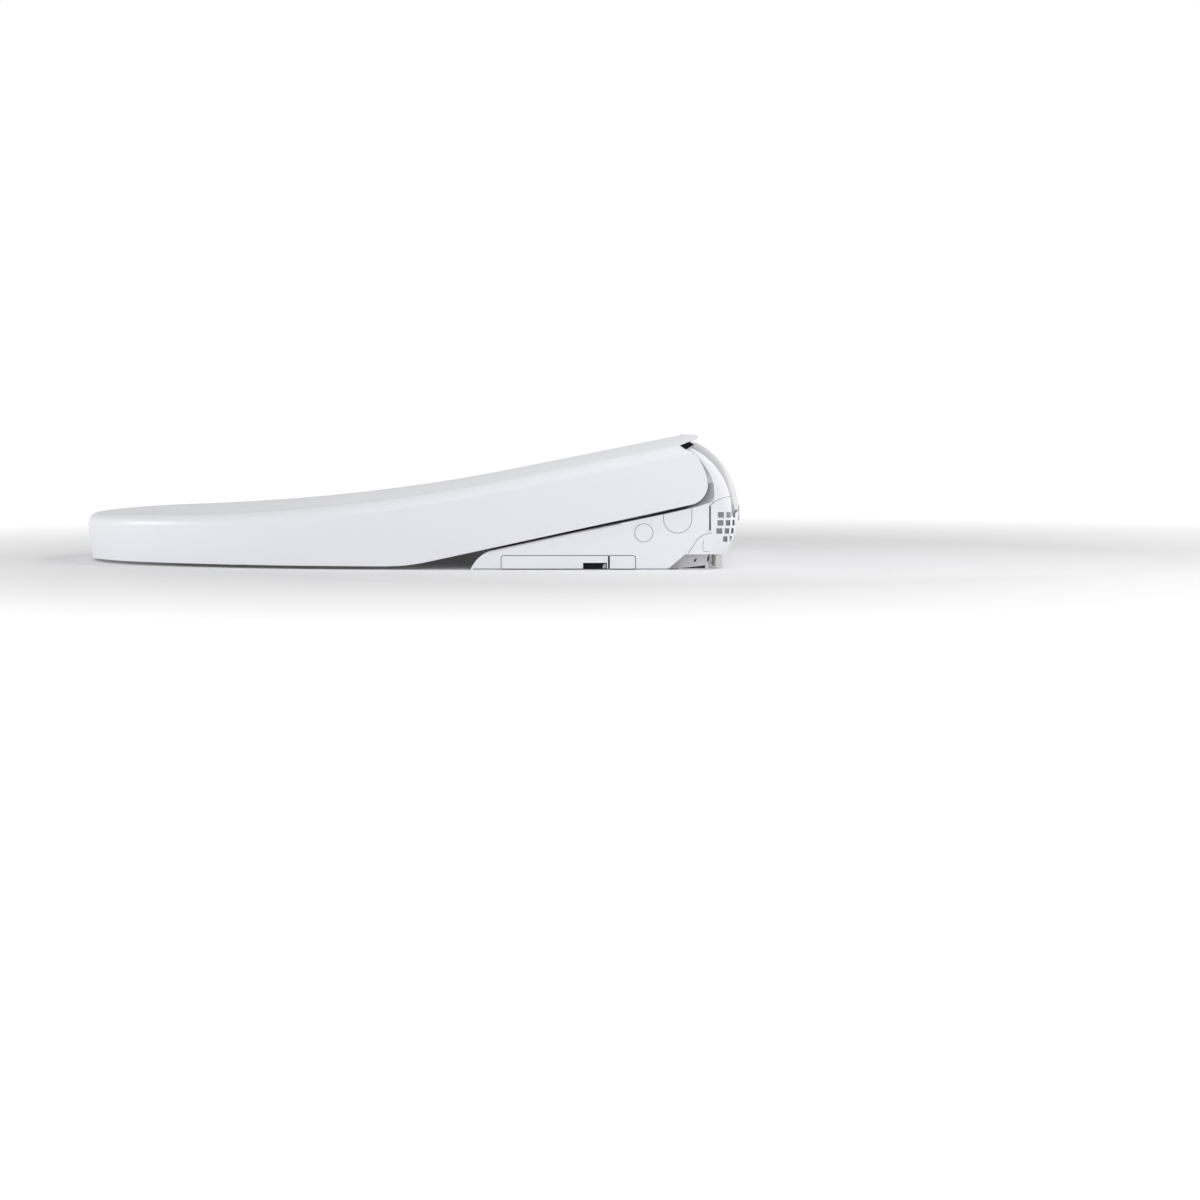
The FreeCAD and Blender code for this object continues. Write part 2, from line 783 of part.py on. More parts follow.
def seat_pieces():
    solid = seat_block()
    shell = less("seat_shell", solid, seat_cavity())
    seam = below_seam("seat_seam_cut", "-seat_half - 20", "seat_half + 20")
    keep(less("seat_upper", shell, seam), "seat_top")
    arms = []
    holes = []
    for side, span in zip(("left", "right"), both_sides("seat_arm_in", "seat_arm_out")):
        tip = [("-seat_rear - 1", wedge("-seat_rear - 1", "seat_gap + seat_seam - 1")),
               ("-seat_rear - 1", wedge("-seat_rear - 1", "seat_gap + 1"))]
        arms.append(arm_plate("seat_arm_" + side, span[0], span[1], tip))
        holes.append(eye_hole("seat_eye_" + side, span[0], span[1]))
    lower = shared("seat_tray", shell, seam)
    keep(less("seat_lower", fused("seat_tray_arms", lower, *arms), *holes), "seat_bottom")
    warm = shared("heater_blank", seat_plan("heater_plan", "heater_inset"), heater_band())
    keep(less("heater", warm, seat_hole("heater_hole", "heater_inset")), "seat_heater")
    pads = []
    for number, (across, forward) in enumerate(PADS):
        foot = (across, forward, "0")
        pads.append(rod("seat_pad_%d" % number, foot, "pad_radius", "seat_bottom_height", LEVEL[0]))
    keep(fused("seat_pads", *pads), "seat_bumpers")
    bushes = [bush("seat_bush_left", "seat_arm_in", "seat_arm_out"),
              bush("seat_bush_right", "-seat_arm_out", "-seat_arm_in")]
    keep(fused("seat_bushes", *bushes), "seat_hinge_bushes")


def heater_band():
    """A thin sheet just under the seat's upper wall."""
    def lower(text):
        return "%s - seat_wall - heater_thick" % text
    rear = "(-seat_rear - seat_wall)"
    return slab("heater_band", [
        (rear, lower("seat_rear_height")),
        (rear, "seat_rear_height - seat_wall"),
        ("-seat_bend_place", "seat_top_height - seat_wall"),
        ("-seat_front - 20", "seat_top_height - seat_wall"),
        ("-seat_front - 20", lower("seat_top_height")),
        ("-seat_bend_place", lower("seat_top_height")),
    ], "-seat_half", "seat_half")


PADS = [("pad_across", "-pad_rear"), ("-pad_across", "-pad_rear"),
        ("pad_front_across", "-pad_front"), ("-pad_front_across", "-pad_front")]


def lid_pieces():
    outer = lid_outer()
    hollow = lid_inner()
    outer = rounded("lid_outside", outer, "lid_shoulder", on_shoulder("0"))
    hollow = bevelled("lid_inside", hollow, "lid_shoulder / 2", on_shoulder("lid_plate"))
    keep(lid_shell(outer, hollow), "lid_shell")
    pads = shared("lid_pads_cut", lid_bumpers(hollow), hollow)
    seat = seat_side("lid_pad_floor", "-pad_gap", "-seat_half", "seat_half")
    keep(less("lid_pads_seated", pads, seat), "lid_bumpers")
    bushes = [bush("lid_bush_left", "lid_arm_in", "lid_arm_out"),
              bush("lid_bush_right", "-lid_arm_out", "-lid_arm_in")]
    keep(fused("lid_bushes", *bushes), "lid_hinge_bushes")


# ---- the housing of the main unit ----

def dome_and_barrel(inset):
    """The housing's back and top, from the heel up over the dome and the barrel to the wedge."""
    dome = "(dome_radius - (%s))" % inset
    barrel = "(barrel_radius - (%s))" % inset
    floor = "(heel_height + (%s))" % inset
    heel = "(dome_back + sqrt(%s^2 - (dome_height - %s)^2))" % (dome, floor)
    rise = "(wedge_rise - (%s) * %s - hinge_height)" % (inset, WEDGE_LEAN)
    square = "(1 + wedge_slope^2)"
    half = "(wedge_slope * %s - hinge_back)" % rise
    rest = "(hinge_back^2 + %s^2 - %s^2)" % (rise, barrel)
    foot = "((-%s - sqrt(%s^2 - %s * %s)) / %s)" % (half, half, square, rest, square)
    crown = crossing(measure("dome_back"), measure("dome_height"), measure(dome),
                     measure("hinge_back"), measure("hinge_height"), measure(barrel))
    return [
        (heel, floor, "dome_back", "dome_height", dome),
        (crown[0], crown[1], "hinge_back", "hinge_height", barrel),
        (foot, wedge(foot, "-(%s) * %s" % (inset, WEDGE_LEAN))),
    ]


def crossing(back, up, radius, other_back, other_up, other_radius):
    """The upper of the two points where two circles cross."""
    apart = math.hypot(other_back - back, other_up - up)
    along = (radius ** 2 - other_radius ** 2 + apart ** 2) / (2 * apart)
    off = math.sqrt(radius ** 2 - along ** 2)
    unit = ((other_back - back) / apart, (other_up - up) / apart)
    return (back + unit[0] * along - unit[1] * off, up + unit[1] * along + unit[0] * off)


def heel_edges(inset):
    return [
        ("-heel_start - 0.5 * (%s)" % inset, inset),
        ("heel_back - 0.5 * (%s)" % inset, "heel_height + (%s)" % inset),
    ]


def housing(name, inset, low, high):
    """The middle of the housing, with its square front face."""
    front = "(-front_face + (%s))" % inset
    lift = "-(%s) * %s" % (inset, WEDGE_LEAN)
    rear = "(tray_rear - (%s))" % inset
    corners = [(front, inset), (rear, inset), (rear, "heel_height + (%s)" % inset)]
    corners += dome_and_barrel(inset)
    return slab(name, corners + [(front, wedge(front, lift))], low, high)


def nose_edges(inset):
    """The rounded front end of an arm, from its top to the deck."""
    lift = "-(%s) * %s" % (inset, WEDGE_LEAN)
    top = "(-arm_top + 0.3 * (%s))" % inset
    return [(top, wedge(top, lift), "nose_radius - (%s)" % inset),
            ("-arm_front + (%s)" % inset, inset)]


def cover_side(name, inset, low, high):
    corners = heel_edges(inset) + dome_and_barrel(inset) + nose_edges(inset)
    return slab(name, corners, low, high)


def arm_side(name, inset, low, high):
    rear = "(-front_face - cover_gap - (%s))" % inset
    lift = "-(%s) * %s" % (inset, WEDGE_LEAN)
    return slab(name, [(rear, inset), (rear, wedge(rear, lift))] + nose_edges(inset), low, high)


def on_dome(dome, place):
    """Whether an edge is the cover's outer corner where it turns over the dome."""
    reach = measure(dome)
    side = measure(place)

    def test(edge):
        round_edge = isinstance(edge.Curve, Part.Circle) and abs(edge.Curve.Radius - reach) < 0.01
        return round_edge and abs(middle_of(edge).x - side) < 0.01
    return test


def on_arm_top(place):
    """Whether an edge runs over the arm's nose and up its slope, on the outer side."""
    side = measure(place)
    low = measure("panel_height")

    def test(edge):
        spot = middle_of(edge)
        return (abs(edge.BoundBox.XMin - side) < 0.01 and spot.y < -measure("barrel_radius") + 10
                and spot.z > low and edge.BoundBox.ZMax < measure("wedge_rise"))
    return test


def cover_shell():
    """The left end cover: a deep cap with a long arm, open towards the middle."""
    inner = "(barrel_half + cover_gap)"
    skin = "(cover_half - cover_wall)"
    outside = cover_side("cover_outside", "0", inner, "cover_half")
    outside = rounded("cover_rounded", outside, "cover_round", on_dome("dome_radius", "cover_half"))
    outside = rounded("cover_nosed", outside, "cover_edge", on_arm_top("cover_half"))
    arm = arm_side("cover_arm", "0", "arm_inner", inner)
    hollow = cover_side("cover_hollow", "case_wall", "%s - 1" % inner, skin)
    hollow = bevelled("cover_hollow_eased", hollow, "cover_round / 2",
                      on_dome("dome_radius - case_wall", skin))
    arm_hollow = arm_side("cover_arm_hollow", "case_wall", "arm_inner + case_wall", skin)
    slot = slab("cover_slot", [
        ("-barrel_radius + hinge_back - 5", "slot_floor + 7"),
        ("2", "slot_floor"),
        ("hinge_back + 9", "slot_floor"),
        ("hinge_back + 75", "hinge_height + 32"),
        ("hinge_back + 75", "lid_top_rise + 30"),
        ("-barrel_radius + hinge_back - 5", "lid_top_rise + 30"),
    ], "%s - 1" % inner, skin)
    foot = ("%s - boss_height" % skin, "hinge_back", "hinge_height")
    boss = rod("cover_boss", foot, "pin_radius + 3", "boss_height + 1")
    socket = rod("cover_socket", foot, "pin_radius", "boss_height")
    shell = less("cover_pan", fused("cover_blank", outside, arm), hollow, arm_hollow, slot)
    return less("cover_bossed", fused("cover_with_boss", shell, boss), socket)


def recess_behind_lid():
    """The shallow step above the lid's lower edge that the lid's wall lies over."""
    return slab("lid_recess", [
        ("-arm_top - 30", wedge("-arm_top - 30", "-lid_edge_reveal")),
        ("recess_back", wedge("recess_back", "-lid_edge_reveal"), "recess_bend"),
        ("recess_top_back", "recess_top"),
        ("-arm_top - 30", "recess_top + 30"),
    ], "cover_half - cover_recess", "cover_half + 1")


def grille_region(name, ease, low, high):
    """The side outline of the vent panel, larger than it by the given ease."""
    return slab(name, [
        ("grille_front - (%s)" % ease, "grille_turn", "grille_foot_bend"),
        ("grille_foot_back - (%s)" % ease, "grille_foot"),
        ("grille_foot_back - (%s)" % ease, "0"),
        ("dome_end + 10", "0"),
        ("dome_end + 10", "grille_top_rear + (%s)" % ease),
        ("grille_crown", "grille_crown_height + (%s)" % ease),
        ("grille_front - (%s)" % ease, "grille_top_front + (%s)" % ease),
    ], low, high)


def vent_holes():
    """Rows of holes that draw forward with the dome as they go down. The lowest row has one less."""
    holes = []
    for row in range(4):
        low = "grille_hole_low + %d * grille_pitch" % row
        above = "%s + grille_hole / 2 - dome_height" % low
        drawn = "(grille_follow * (dome_radius - sqrt(dome_radius^2 - (%s)^2)))" % above
        for column, (near, far) in enumerate(GRILLE_COLUMNS):
            if row == 0 and column == 0:
                continue
            holes.append(block("vent_%d_%d" % (column, row),
                               ("barrel_half + 6", "%s - %s" % (near, drawn), low),
                               ("cover_half + 1", "%s - %s" % (far, drawn), "%s + grille_hole" % low)))
    return holes


# the holes' columns, each measured forward from the back of the dome
GRILLE_COLUMNS = [("dome_end - 16.1", "dome_end - 11.6"),
                  ("dome_end - 9.7", "dome_end - 6.3"),
                  ("dome_end - 4.6", "dome_end - 2.8")]


def covers():
    shell = cover_shell()
    skin = "(cover_half - cap_depth)"
    cap_seat = cap_outline("cap_seat", "cap_seam", skin, "cover_half + 1")
    plug_foot = (skin, "-plug_back", "plug_height")
    plug_seat = rod("plug_seat", plug_foot, "plug_radius + cap_seam", "cap_depth + 1")
    plain = less("cover_plain", shell, recess_behind_lid(), cap_seat, plug_seat)
    cap = less("cap_cut", cap_outline("cap", "0", skin, "cover_half"), recess_behind_cap())
    plug = rod("plug", plug_foot, "plug_radius", "cap_depth")
    filter_hole = panel("filter_hole", "-panel_front", "-panel_rear", "front", "panel_seam",
                        "arm_inner + 8", "cover_half + 1")
    button_hole = panel("button_hole", "-button_front", "-button_rear", "rear", "panel_seam",
                        "barrel_half", "cover_half + 1")
    seam_skin = "(cover_half - panel_seam)"
    groove = less("grille_groove",
                  grille_region("grille_seam_out", "panel_seam / 2", seam_skin, "cover_half + 1"),
                  grille_region("grille_seam_in", "-panel_seam / 2", seam_skin, "cover_half + 1"))
    slot = block("grille_slot", ("barrel_half + 8", "grille_front", "grille_corner"),
                 ("cover_half + 1", "grille_front + grille_slot", "grille_top_front"))
    keep(less("left_cover", plain, filter_hole, button_hole, groove, slot, *vent_holes()),
         "left_side_cover")
    right = mirrored("right_cover", less("right_cover_plain", plain, *button_seats()))
    keep(right, "right_side_cover")
    keep(fused("caps", cap, mirrored("cap_right", cap)), "hinge_caps")
    keep(fused("plugs", plug, mirrored("plug_right", plug)), "screw_caps")


def cap_outline(name, ease, low, high):
    """A tongue with a round lower end, which runs up to the cover's top edge."""
    reach = "(cap_radius + (%s))" % ease
    return slab(name, [
        (reach, "hinge_height"),
        (reach, wedge(reach)),
        ("-" + reach, wedge("-" + reach)),
        ("-" + reach, "hinge_height", reach),
        ("0", "hinge_height - %s" % reach, reach),
    ], low, high)


def panel(name, front, rear, rounded_end, ease, low, high):
    """A low panel's side outline, with one rounded upper corner, larger by the given ease."""
    front, rear = "(%s - (%s))" % (front, ease), "(%s + (%s))" % (rear, ease)
    top = "(panel_height + (%s))" % ease
    foot = "panel_foot" if ease == "0" else "-1"
    corner = "(panel_corner + (%s))" % ease
    if rounded_end == "front":
        upper = [(rear, top), ("%s + %s" % (front, corner), top, corner),
                 (front, "%s - %s" % (top, corner))]
    else:
        upper = [(rear, "%s - %s" % (top, corner), corner),
                 ("%s - %s" % (rear, corner), top), (front, top)]
    return slab(name, [(front, foot), (rear, foot)] + upper, low, high)


def recess_behind_cap():
    return slab("cap_recess", [
        ("-arm_top", wedge("-arm_top", "-lid_edge_reveal")),
        ("recess_back", wedge("recess_back", "-lid_edge_reveal")),
        ("recess_back", "recess_top"),
        ("-arm_top", "recess_top"),
    ], "cover_half - cover_recess", "cover_half + 1")


def button_seats():
    """The two holes for the buttons, cut where the mirrored cover will have them."""
    seats = []
    for number, place in enumerate(BUTTONS):
        foot = ("barrel_half + 5", "-(%s)" % place, "button_height")
        seats.append(rod("button_seat_%d" % number, foot, "button_radius + panel_seam", "30"))
    return seats


BUTTONS = ["button_place", "button_place + button_pitch"]


def mirrored(name, solid):
    twin = doc.addObject("Part::Mirroring", name)
    twin.Source = solid
    twin.Normal = X
    return twin


def cases():
    """The three shells of the middle: the tray, the top and the back."""
    outside = housing("case_outside", "0", "-barrel_half", "barrel_half")
    inside = housing("case_inside", "case_wall", "-barrel_half + case_wall",
                     "barrel_half - case_wall")
    ends = rod("pin_ways", ("-barrel_half - 1", "hinge_back", "hinge_height"),
               "pin_radius + running_gap", "2 * barrel_half + 2")
    wand_way = slanted_rod("wand_way", "wand_radius + rack_height + wand_gap", "-10", "20")
    flap_way = block("flap_way", ("-flap_left - flap_gap", "-front_face - 1", "flap_low - flap_gap"),
                     ("-flap_right + flap_gap", "-front_face + case_wall + 1",
                      "flap_high + flap_gap"))
    base_way = block("base_way", ("-base_half - plate_ease", "-base_front - plate_ease", "-1"),
                     ("base_half + plate_ease", "dome_radius",
                      "base_thick + flange_thick + plate_clear"))
    roof = block("plate_roof",
                 ("-base_half - plate_ease - case_wall", "-base_front - plate_ease - case_wall", "-1"),
                 ("base_half + plate_ease + case_wall", "dome_radius + 1", ROOF))
    filter_way = block("filter_way", ("arm_inner + 8", "-panel_front - panel_seam", "-1"),
                       ("barrel_half + 1", "-panel_rear + panel_seam", "panel_height + panel_seam"))
    flap_pin_way = rod("flap_pin_way", ("-flap_left - flap_pin_reach - flap_gap",
                                        FLAP_LINE[0], FLAP_LINE[1]),
                       "flap_pin_radius + running_gap",
                       "flap_left - flap_right + 2 * (flap_pin_reach + flap_gap)")
    shell = less("case_shell", outside, less("case_hollow", inside, roof), ends, wand_way,
                 flap_way, flap_pin_way, base_way, filter_way)
    far = "barrel_half + 10"
    tray = block("tray_part", ("-" + "(%s)" % far, "-front_face - 10", "-5"),
                 (far, "dome_radius + 10", "tray_height"))
    front = block("top_part", ("-(%s)" % far, "-front_face - 10", "tray_height"),
                  (far, "dome_split", "lid_top_rise + 20"))
    back = block("back_part", ("-(%s)" % far, "dome_split", "tray_height"),
                 (far, "dome_radius + 10", "lid_top_rise + 20"))
    posts = []
    for number, (across, along, floor, top) in enumerate(POSTS):
        foot = "(%s - case_wall / 2)" % floor
        posts.append(rod("post_%d" % number, (across, along, foot), "post_radius",
                         "(%s) - %s" % (top, foot), LEVEL[0]))
    keep(fused("tray_with_posts", shared("lower_shell", shell, tray), *posts), "lower_case")
    keep(shared("upper_shell", shell, front), "upper_case")
    gland_way = block("gland_way", ("gland_place - gland_half", "gland_back - 20", "gland_low"),
                      ("gland_place + gland_half", "gland_back + 1", "gland_high"))
    keep(less("rear_cut", shared("rear_shell", shell, back), gland_way), "rear_case")


# the top of the tray's floor over the base plate, and over the heel
ROOF = "(base_thick + flange_thick + plate_clear + case_wall)"
HEEL_FLOOR = "(heel_height + case_wall)"
# where the tray's posts stand, what they stand on and how high they reach
POSTS = [
    ("base_half", "-4", ROOF, "38 - block_lift"),
    ("block_right + 4", "tray_rear", HEEL_FLOOR, "38 - block_lift"),
    ("heater_left - 4", "tray_rear", HEEL_FLOOR, "38 - block_lift"),
    ("block_right + 14", "-2", ROOF, "14 - block_lift"),
    ("(suction_left + suction_right) / 2", "suction_back", "case_wall",
     "suction_height - suction_radius - 0.1"),
    ("-(fan_left + fan_right) / 2", "fan_back", ROOF, "fan_height - fan_radius - 0.1"),
]


# ---- what slides on the slope of the wand ----

def slope_place(across, back, up):
    """A place measured from the wand's exit: back along the slope, and up square to it."""
    return (across,
            "-front_face + (%s) * cos(wand_tilt) - (%s) * sin(wand_tilt)" % (back, up),
            "wand_exit + (%s) * sin(wand_tilt) + (%s) * cos(wand_tilt)" % (back, up))


def slope_turn(angle=0):
    return FreeCAD.Rotation(X, measure("wand_tilt") + angle)


def slanted_rod(name, radius, near, far, across="0", up="0"):
    """A cylinder along the slope, from far back to near."""
    solid = doc.addObject("Part::Cylinder", name)
    solid.Placement = FreeCAD.Placement(FreeCAD.Vector(0, 0, 0), slope_turn(90))
    for letter, text in zip("xyz", slope_place(across, far, up)):
        tie(solid, "Placement.Base." + letter, text)
    tie(solid, "Radius", radius)
    tie(solid, "Height", "(%s) - (%s)" % (far, near))
    return solid


def slanted_post(name, radius, back, low, high, across):
    """A cylinder that stands square to the slope."""
    solid = doc.addObject("Part::Cylinder", name)
    solid.Placement = FreeCAD.Placement(FreeCAD.Vector(0, 0, 0), slope_turn())
    for letter, text in zip("xyz", slope_place(across, back, low)):
        tie(solid, "Placement.Base." + letter, text)
    tie(solid, "Radius", radius)
    tie(solid, "Height", "(%s) - (%s)" % (high, low))
    return solid


def slanted_block(name, low, high):
    """A box on the slope, from (x, back, up) to (x, back, up)."""
    solid = doc.addObject("Part::Box", name)
    solid.Placement = FreeCAD.Placement(FreeCAD.Vector(0, 0, 0), slope_turn())
    for letter, text in zip("xyz", slope_place(*low)):
        tie(solid, "Placement.Base." + letter, text)
    for field, near, far in zip(("Length", "Width", "Height"), low, high):
        tie(solid, field, "(%s) - (%s)" % (far, near))
    return solid


def wand_pieces():
    tube_near = "(wand_recess + wand_tip_length)"
    tube_far = "(wand_recess + wand_length)"
    tube = slanted_rod("wand_tube", "wand_radius", tube_near, tube_far)
    rack = slanted_block("wand_rack",
                         ("wand_radius - rack_root", "pinion_place - 4", "-pinion_width / 2"),
                         ("wand_radius + rack_back", tube_far, "pinion_width / 2"))
    teeth = []
    count = int(measure("wand_travel / tooth_pitch")) + 2
    for number in range(count):
        middle = "pinion_place + (%d - 0.5) * tooth_pitch" % number
        near = "%s - tooth_half * tooth_pitch" % middle
        far = "%s + tooth_half * tooth_pitch" % middle
        teeth.append(slanted_block("rack_tooth_%d" % number,
                                   ("wand_radius + 0.5", near, "-pinion_width / 2"),
                                   ("wand_radius + rack_height", far, "pinion_width / 2")))
    keep(fused("wand_body", tube, rack, *teeth), "wand")
    tip = slanted_rod("tip_blank", "wand_radius", "wand_recess", tube_near)
    flat = slanted_block("tip_flat",
                         ("-wand_radius - 3.5", "wand_recess - 1", "wand_radius - tip_flat_depth"),
                         ("wand_radius + 3.5", "wand_recess + tip_flat_length", "wand_radius + 5"))
    sprays = []
    for number in range(3):
        for across in ("-spray_across", "spray_across"):
            place = "wand_recess + spray_first + %d * spray_pitch" % number
            sprays.append(slanted_post("spray_%d_%s" % (number, across[0]), "spray_radius", place,
                                       "wand_radius - spray_depth", "wand_radius", across))
    keep(less("tip", tip, flat, *sprays), "wand_tip")
    trough = slanted_block("trough",
                           ("-trough_half", "wand_recess + trough_near", "-wand_radius - trough_foot"),
                           ("trough_left", tube_far, "-trough_top"))
    way = slanted_rod("trough_way", "wand_radius + wand_gap", "0", "wand_length + 20")
    keep(less("guide", trough, way), "wand_guide")
    centre = "wand_radius + rack_height - mesh_depth + pinion_pitch"
    hub = slanted_post("pinion_hub", "pinion_pitch - 1", "pinion_place", "-pinion_width / 2",
                       "pinion_width / 2", centre)
    keep(less("pinion", fused("pinion_blank", hub, *pinion_teeth(centre)),
              slanted_post("pinion_bore", "shaft_radius + running_gap", "pinion_place",
                           "-pinion_width", "pinion_width", centre)), "wand_pinion")
    motor = slanted_post("motor_can", "motor_radius", "pinion_place",
                         "-wand_radius - motor_gap - motor_height", "-wand_radius - motor_gap",
                         centre)
    shaft = slanted_post("motor_shaft", "shaft_radius", "pinion_place", "-wand_radius - 1",
                         "pinion_width / 2", centre)
    keep(fused("motor", motor, shaft), "wand_motor")


def pinion_teeth(centre):
    """Ten straight teeth round the hub, narrower than their gaps so that they run free."""
    teeth = []
    for number in range(10):
        tooth = doc.addObject("Part::Box", "pinion_tooth_%d" % number)
        turn = slope_turn().multiply(FreeCAD.Rotation(Z, 36 * number))
        half = measure("pinion_tooth_half * tooth_pitch")
        corner = turn.multVec(FreeCAD.Vector(0, -half, 0))
        base = FreeCAD.Vector(*[measure(text) for text in
                                slope_place(centre, "pinion_place", "-pinion_width / 2")])
        tooth.Placement = FreeCAD.Placement(base + corner, turn)
        tie(tooth, "Length", "pinion_pitch + 0.3")
        tie(tooth, "Width", "2 * pinion_tooth_half * tooth_pitch")
        tie(tooth, "Height", "pinion_width")
        teeth.append(tooth)
    return teeth


# ---- the dryer, the suction fan and the rest of the inside ----

def fan(name, left, right, back, up, radius, wheel):
    """A scroll: a round drum with a hollow for its wheel, which turns on an axis along X."""
    foot = (left, back, up)
    width = "(%s) - (%s)" % (right, left)
    drum = rod(name + "_drum", foot, radius, width)
    hollow = rod(name + "_hollow", ("(%s) + fan_wall" % left, back, up),
                 "(%s) - fan_wall" % radius, "(%s) - 2 * fan_wall" % width)
    eye = rod(name + "_inlet", ("(%s) - 1" % left, back, up), "(%s) * 0.5" % wheel, "fan_wall + 2")
    shaft = rod(name + "_shaft_way", (left, back, up), "shaft_radius + 1", "(%s) + 1" % width)
    return less(name, drum, hollow, eye, shaft)


def wheel(name, left, right, back, up, radius):
    """A drum wheel: a back disc, a hub and a ring of blades."""
    body = doc.addObject("PartDesign::Body", name)
    plane = [item for item in body.Origin.OriginFeatures if item.Role == "YZ_Plane"][0]
    disc = body.newObject("Sketcher::SketchObject", name + "_disc_outline")
    disc.AttachmentSupport = [(plane, "")]
    disc.MapMode = "FlatFace"
    ring(disc, "0", "0", radius)
    ring(disc, "0", "0", "shaft_radius + running_gap")
    disc_pad = body.newObject("PartDesign::Pad", name + "_disc")
    disc_pad.Profile = disc
    tie(disc_pad, "Length", "wheel_disc")
    hub = body.newObject("Sketcher::SketchObject", name + "_hub_outline")
    hub.AttachmentSupport = [(plane, "")]
    hub.MapMode = "FlatFace"
    ring(hub, "0", "0", "shaft_radius + 3")
    ring(hub, "0", "0", "shaft_radius + running_gap")
    hub_pad = body.newObject("PartDesign::Pad", name + "_hub")
    hub_pad.Profile = hub
    hub_pad.Reversed = True
    tie(hub_pad, "Length", "(%s) - (%s) - 2 * wheel_disc" % (right, left))
    blade = body.newObject("Sketcher::SketchObject", name + "_blade_outline")
    blade.AttachmentSupport = [(plane, "")]
    blade.MapMode = "FlatFace"
    outline(blade, [
        ("0.72 * (%s)" % radius, "-0.6"),
        ("0.96 * (%s)" % radius, "1.2"),
        ("0.94 * (%s)" % radius, "2.3"),
        ("0.70 * (%s)" % radius, "0.5"),
    ])
    blade_pad = body.newObject("PartDesign::Pad", name + "_blade")
    blade_pad.Profile = blade
    blade_pad.Reversed = True
    tie(blade_pad, "Length", "(%s) - (%s) - wheel_disc" % (right, left))
    body.Tip = blade_pad
    doc.recompute()
    pattern = body.newObject("PartDesign::PolarPattern", name + "_blades")
    pattern.Originals = [blade_pad]
    axis = [item for item in body.Origin.OriginFeatures if item.Role == "X_Axis"][0]
    pattern.Axis = (axis, [""])
    pattern.Angle = 360
    pattern.Occurrences = 14
    body.Tip = pattern
    for letter, text in zip("xyz", ("(%s) - wheel_disc" % right, back, up)):
        tie(body, "Placement.Base." + letter, text)
    doc.recompute()
    return body


# the line that the dryer's flap turns on, as (y, z)
FLAP_LINE = ("(-front_face + flap_thick / 2)", "(flap_high - flap_thick / 2)")


def dryer_pieces():
    place = ("fan_back", "fan_height")
    drum = fan("dryer_scroll", "-fan_left", "-fan_right", *place, "fan_radius", "wheel_radius")
    left = "(-fan_left + duct_inset)"
    right = "(-fan_right - duct_inset)"
    mouth = slanted_block("dryer_mouth", (left, "mouth_near", "-duct_half"),
                          (right, "mouth_far", "duct_half"))
    keep(less("dryer_scroll_open", drum, mouth), "dryer_housing")
    rotor = wheel("dryer_wheel", "-fan_left + wheel_inset", "-fan_right - wheel_inset", *place,
                  "wheel_radius")
    keep(rotor, "dryer_impeller")
    can = rod("dryer_can", ("-fan_right", *place), "dryer_can_radius", "dryer_can_length")
    shaft = rod("dryer_shaft", ("-fan_right - fan_shaft", *place), "shaft_radius", "fan_shaft")
    keep(fused("dryer_drive", can, shaft), "dryer_motor")
    outside = slanted_block("duct_outside",
                            (left + " - duct_wall", "duct_near", "-duct_half - duct_wall"),
                            (right + " + duct_wall", "duct_far", "duct_half + duct_wall"))
    inside = slanted_block("duct_inside", (left, "duct_near - 1.1", "-duct_half"),
                           (right, "duct_far + 1", "duct_half"))
    clear = rod("duct_clear", ("-fan_left - 5", *place), "fan_radius", "40")
    keep(less("duct", outside, inside, clear), "dryer_duct")
    frame = slanted_block("heater_frame", (left, "element_near", "-element_half"),
                          (right, "element_far", "element_half"))
    middle = "(-fan_left / 2 - fan_right / 2)"
    fin = slanted_block("heater_fin", (middle + " - element_half", "element_near", "-duct_half"),
                        (middle + " + element_half", "element_far", "duct_half"))
    keep(fused("heater_cross", frame, fin), "dryer_heater")
    leaf = block("flap_leaf", ("-flap_left", "-front_face", "flap_low"),
                 ("-flap_right", "-front_face + flap_thick", FLAP_LINE[1]))
    barrel = rod("flap_barrel", ("-flap_left", FLAP_LINE[0], FLAP_LINE[1]), "flap_thick / 2",
                 "flap_left - flap_right")
    pin = rod("flap_pin", ("-flap_left - flap_pin_reach", FLAP_LINE[0], FLAP_LINE[1]),
              "flap_pin_radius", "flap_left - flap_right + 2 * flap_pin_reach")
    keep(fused("flap", leaf, barrel, pin), "dryer_flap")


def suction_pieces():
    place = ("suction_back", "suction_height")
    drum = fan("suction_scroll", "suction_left", "suction_right", *place,
               "suction_radius", "suction_wheel")
    keep(drum, "deodorizer_housing")
    rotor = wheel("suction_rotor", "suction_left + wheel_inset", "suction_right - wheel_inset",
                  *place, "suction_wheel")
    keep(rotor, "deodorizer_impeller")
    can = rod("suction_can", ("suction_right", *place), "suction_can_radius", "suction_can_length")
    shaft = rod("suction_shaft", ("suction_right - fan_shaft", *place), "shaft_radius", "fan_shaft")
    keep(fused("suction_drive", can, shaft), "deodorizer_motor")


def hinge_pieces():
    pins = []
    dampers = []
    for side in ("1", "-1"):
        start = "barrel_half - case_wall - 0.3"
        foot = start if side == "1" else "-(cover_half - cover_wall)"
        pins.append(rod("pin_" + side, (foot, "hinge_back", "hinge_height"), "pin_radius",
                        "cover_half - cover_wall - (%s)" % start))
        body = "%s - damper_length" % start
        foot = body if side == "1" else "-(%s)" % start
        dampers.append(rod("damper_" + side, (foot, "hinge_back", "hinge_height"),
                           "damper_radius", "damper_length"))
    keep(fused("pins", *pins), "hinge_pins")
    keep(fused("dampers", *dampers), "hinge_dampers")


